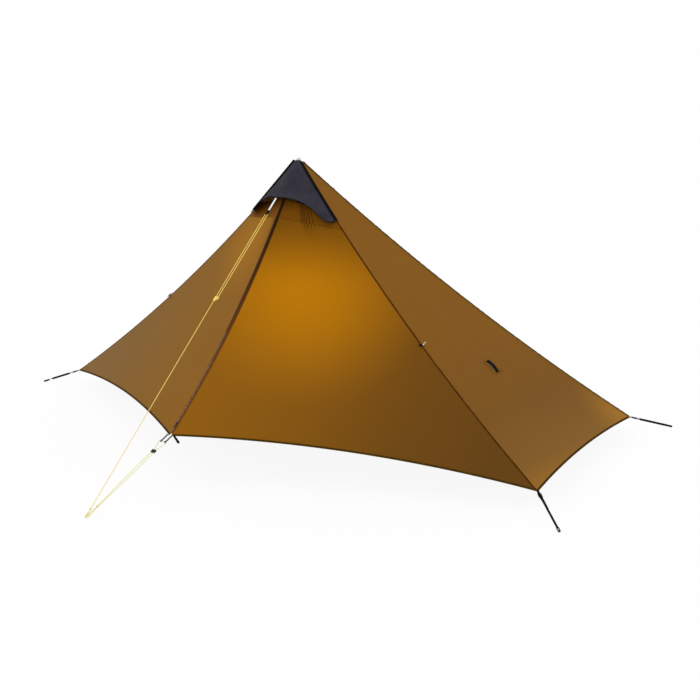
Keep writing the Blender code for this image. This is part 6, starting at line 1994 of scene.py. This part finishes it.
FRONT_RING_DISTANCE = 36.0 * MM
LINE_LOK_DISTANCE = 88.0 * MM
LINE_LOK_LENGTH = 16.0 * MM
FRONT_KNOT_FROM_GROUND = 73.0 * MM
LOOP_FROM_GROUND = 8.0 * MM
DOOR_STANDOFF = 6.0 * MM
EYE_TAB_OFFSET = 12.0 * MM
EYE_TAB_START = -9.0 * MM
EYE_TAB_WIDTH = 9.0 * MM
EYE_TAB_THICKNESS = 1.1 * MM
EYE_TAB_LAYER = 0.6 * MM
RING_HALF = 20.0 * MM
SLOT_X = 5.0 * MM
LOK_X = 7.0 * MM
GREY_WEBBING = "#85858C"
GREY_WEBBING_SHADE = "#5E5E64"
FADED_YELLOW = "#F1EE94"
FADED_HIGHLIGHT = "#FAFACB"
FADED_SHADE = "#DDD883"

LINE_START = Vector(FRONT_POINT) + Vector((0, -DOOR_STANDOFF, 0))
FRONT_ALONG = (GROUND_POINT - LINE_START).normalized()
FRONT_LENGTH = (GROUND_POINT - LINE_START).length
front_matrix = frame_matrix(LINE_START, FRONT_ALONG, Vector((1, 0, 0)))


def front_place(along, across, normal=0.0):
    """A point by its distance down the front line, its offset in X and its height off the line."""
    return front_matrix @ Vector((along, across, normal))


def mirrored(points):
    """The same places on the other side of the zip's plane."""
    return [Vector((-point.x, point.y, point.z)) for point in points]


pale_cord = braid("sun_faded_yellow_cord", FADED_YELLOW, FADED_HIGHLIGHT, FADED_SHADE)
grey_webbing = webbing_weave("grey_nylon_webbing", GREY_WEBBING, GREY_WEBBING_SHADE)
tab_eye = CORD_RADIUS + 0.75 * MM
layer_end = FRONT_RING_DISTANCE - 9 * MM
tab_path = [(EYE_TAB_START, EYE_TAB_LAYER), (layer_end, EYE_TAB_LAYER)]
tab_path += arc(FRONT_RING_DISTANCE, 0, tab_eye + 0.7 * MM, 125, -125, 17)
tab_path += [(layer_end, -EYE_TAB_LAYER), (EYE_TAB_START, -EYE_TAB_LAYER)]
left_tab = front_matrix @ Matrix.Translation((0, -EYE_TAB_OFFSET, 0))
eye_tab = webbing(
    "left_door_eye_webbing", left_tab, tab_path, EYE_TAB_WIDTH, EYE_TAB_THICKNESS, grey_webbing
)
settle(eye_tab, "left_door", "grey_webbing", "left_door_eye_tab")
hook = softened("right_door_hook_cast", "right_door_hook", 0.5 * MM, black_metal)
settle(hook, "right_door", "dark_metal", "right_door_hook")

ring_route = [
    front_place(LINE_LOK_DISTANCE + 4.0 * MM, -SLOT_X),
    front_place(LINE_LOK_DISTANCE - 3.0 * MM, -SLOT_X - 0.4 * MM),
    front_place(LINE_LOK_DISTANCE - 22.0 * MM, -RING_HALF * 0.62),
    front_place(FRONT_RING_DISTANCE + 10.0 * MM, -RING_HALF + 0.8 * MM),
    front_place(FRONT_RING_DISTANCE + 2.8 * MM, -RING_HALF + 0.6 * MM),
    front_place(FRONT_RING_DISTANCE, -RING_HALF + 3.6 * MM),
    front_place(FRONT_RING_DISTANCE, -EYE_TAB_OFFSET),
]
ring_route = ring_route + [front_place(FRONT_RING_DISTANCE, 0.0)] + mirrored(ring_route[::-1])
ring_route = smooth_route(ring_route, 2.0 * MM, 10)
ring_cord = cord_mesh("front_ring_braid", ring_route, CORD_RADIUS, pale_cord)
settle(ring_cord, "front_line", "yellow_cord", "front_ring_cord")

lok = softened("front_line_lok_moulded", "front_line_lok", 0.5 * MM, black_plastic)
settle(lok, "front_line", "black_plastic", "front_line_lok")

front_knot = FRONT_LENGTH - FRONT_KNOT_FROM_GROUND
lok_foot = LINE_LOK_DISTANCE + LINE_LOK_LENGTH
strand_route = [
    front_place(lok_foot - 4.0 * MM, -LOK_X),
    front_place(lok_foot + 4.0 * MM, -LOK_X),
    front_place(mix(lok_foot, front_knot, 0.35), -7.2 * MM),
    front_place(mix(lok_foot, front_knot, 0.7), -4.6 * MM),
    front_place(front_knot, -2.4 * MM),
    front_place(FRONT_LENGTH - 56.0 * MM, -2.6 * MM),
    front_place(FRONT_LENGTH - 40.0 * MM, -4.4 * MM),
    front_place(FRONT_LENGTH - 24.0 * MM, -6.4 * MM),
    front_place(FRONT_LENGTH - LOOP_FROM_GROUND - 5.0 * MM, -5.4 * MM),
]
front_route = strand_route + [front_place(FRONT_LENGTH - LOOP_FROM_GROUND, 0.0)]
front_route += mirrored(strand_route[::-1])
front_route = smooth_route(front_route, 3.0 * MM, 30)
front_cord = cord_mesh("front_ground_braid", front_route, CORD_RADIUS, pale_cord)
settle(front_cord, "front_line", "yellow_cord", "front_cord")
low_knot = knot(
    "front_loop_knot", front_place(front_knot, 0.0), FRONT_ALONG, 3.8 * MM, CORD_RADIUS, yellow_cord
)
settle(low_knot, "front_line", "yellow_cord")

TIE_ALONG_HEM = 0.012
TIE_DROP = 2.0 * MM
TIE_WAY = Vector((0.72, 0, -0.69))
TIE_WIDTH = 9.0 * MM
TIE_THICKNESS = 2.6 * MM
TIE_LENGTH = 31.0 * MM
TIE_END_RADIUS = 3.2 * MM

tie_top = hem_line(FRONT_POINT, CORNERS["right_front"], DOOR_HEM_RISE)(TIE_ALONG_HEM)
tie_root = Vector(tie_top) + Vector((0, 0, -TIE_DROP))
tie_matrix = frame_matrix(tie_root, TIE_WAY, Vector((-TIE_WAY.z, 0, TIE_WAY.x)))
tie_side = [(-2.0 * MM, 1.6 * MM), (20.0 * MM, 2.2 * MM)]
tie_path = [(x, -y) for x, y in tie_side] + arc(TIE_LENGTH, 0, TIE_END_RADIUS, -110, 110, 11)
tie_path += tie_side[::-1]
tie = webbing(
    "right_door_tie_webbing",
    tie_matrix,
    tie_path,
    TIE_WIDTH,
    TIE_THICKNESS,
    black_webbing,
    standing=True,
)
settle(tie, "right_door", "black_webbing", "right_door_tie_tab")


# Floor, light and camera. A white sweep under an even, soft studio light, seen from the front right.

FLOOR_HALF = 60.0
FLOOR_GAP = 0.2 * MM
FLOOR_WHITE = 0.92
SKY_LEVEL = 0.80
KEY_LEVEL = 0.7
KEY_SPREAD = math.radians(50)
KEY_TURN = (math.radians(42), math.radians(-18), math.radians(-10))
CAMERA_LENS = 61.714
CAMERA_SENSOR = 36.0
CAMERA_PLACE = (3.3663, -4.0583, 1.8755)
CAMERA_DOWN = math.radians(15.8813)
CAMERA_BEARING = math.radians(37.2369)


def seen_directly(tree):
    """One where a camera, glossy or transmission ray looks, and nothing for the rays that light."""
    rays = add(tree, "ShaderNodeLightPath")
    first = add(
        tree,
        "ShaderNodeMath",
        {"operation": "MAXIMUM"},
        {0: rays.outputs["Is Camera Ray"], 1: rays.outputs["Is Glossy Ray"]},
    )
    return add(
        tree,
        "ShaderNodeMath",
        {"operation": "MAXIMUM"},
        {0: first.outputs[0], 1: rays.outputs["Is Transmission Ray"]},
    )


floor_paint, tree, shader = start_material("white_sweep", {"Base Color": "#FFFFFF", "Roughness": 0.9})
direct = seen_directly(tree)
share = add(tree, "ShaderNodeMath", {"operation": "MULTIPLY", 1: FLOOR_WHITE}, {0: direct.outputs[0]})
white = add(tree, "ShaderNodeEmission", {"Strength": 1.0})
both = add(
    tree, "ShaderNodeMixShader", {}, {0: share.outputs[0], 1: shader.outputs[0], 2: white.outputs[0]}
)
tree.links.new(both.outputs[0], tree.nodes["Material Output"].inputs["Surface"])
bm = bmesh.new()
bmesh.ops.create_grid(bm, x_segments=4, y_segments=4, size=FLOOR_HALF)
floor = as_piece(bm, "floor", floor_paint)
floor.location.z = cad_box[0].z - FLOOR_GAP

world = bpy.data.worlds.new("studio")
bpy.context.scene.world = world
world.use_nodes = True
tree = world.node_tree
sky = tree.nodes["Background"]
sky.inputs["Color"].default_value = (1.0, 1.0, 1.0, 1.0)
direct = seen_directly(tree)
level = add(
    tree, "ShaderNodeMapRange", {"To Min": SKY_LEVEL, "To Max": 1.0}, {"Value": direct.outputs[0]}
)
tree.links.new(level.outputs["Result"], sky.inputs["Strength"])

key = bpy.data.lights.new("key", "SUN")
key.energy = KEY_LEVEL
key.angle = KEY_SPREAD
key_lamp = bpy.data.objects.new("key", key)
key_lamp.rotation_euler = KEY_TURN
bpy.context.scene.collection.objects.link(key_lamp)

camera_data = bpy.data.cameras.new("camera")
camera_data.lens = CAMERA_LENS
camera_data.sensor_width = CAMERA_SENSOR
camera = bpy.data.objects.new("camera", camera_data)
camera.location = CAMERA_PLACE
camera.rotation_euler = (math.pi / 2 - CAMERA_DOWN, 0.0, CAMERA_BEARING)
bpy.context.scene.collection.objects.link(camera)
bpy.context.scene.camera = camera
bpy.context.scene.view_settings.view_transform = "Standard"
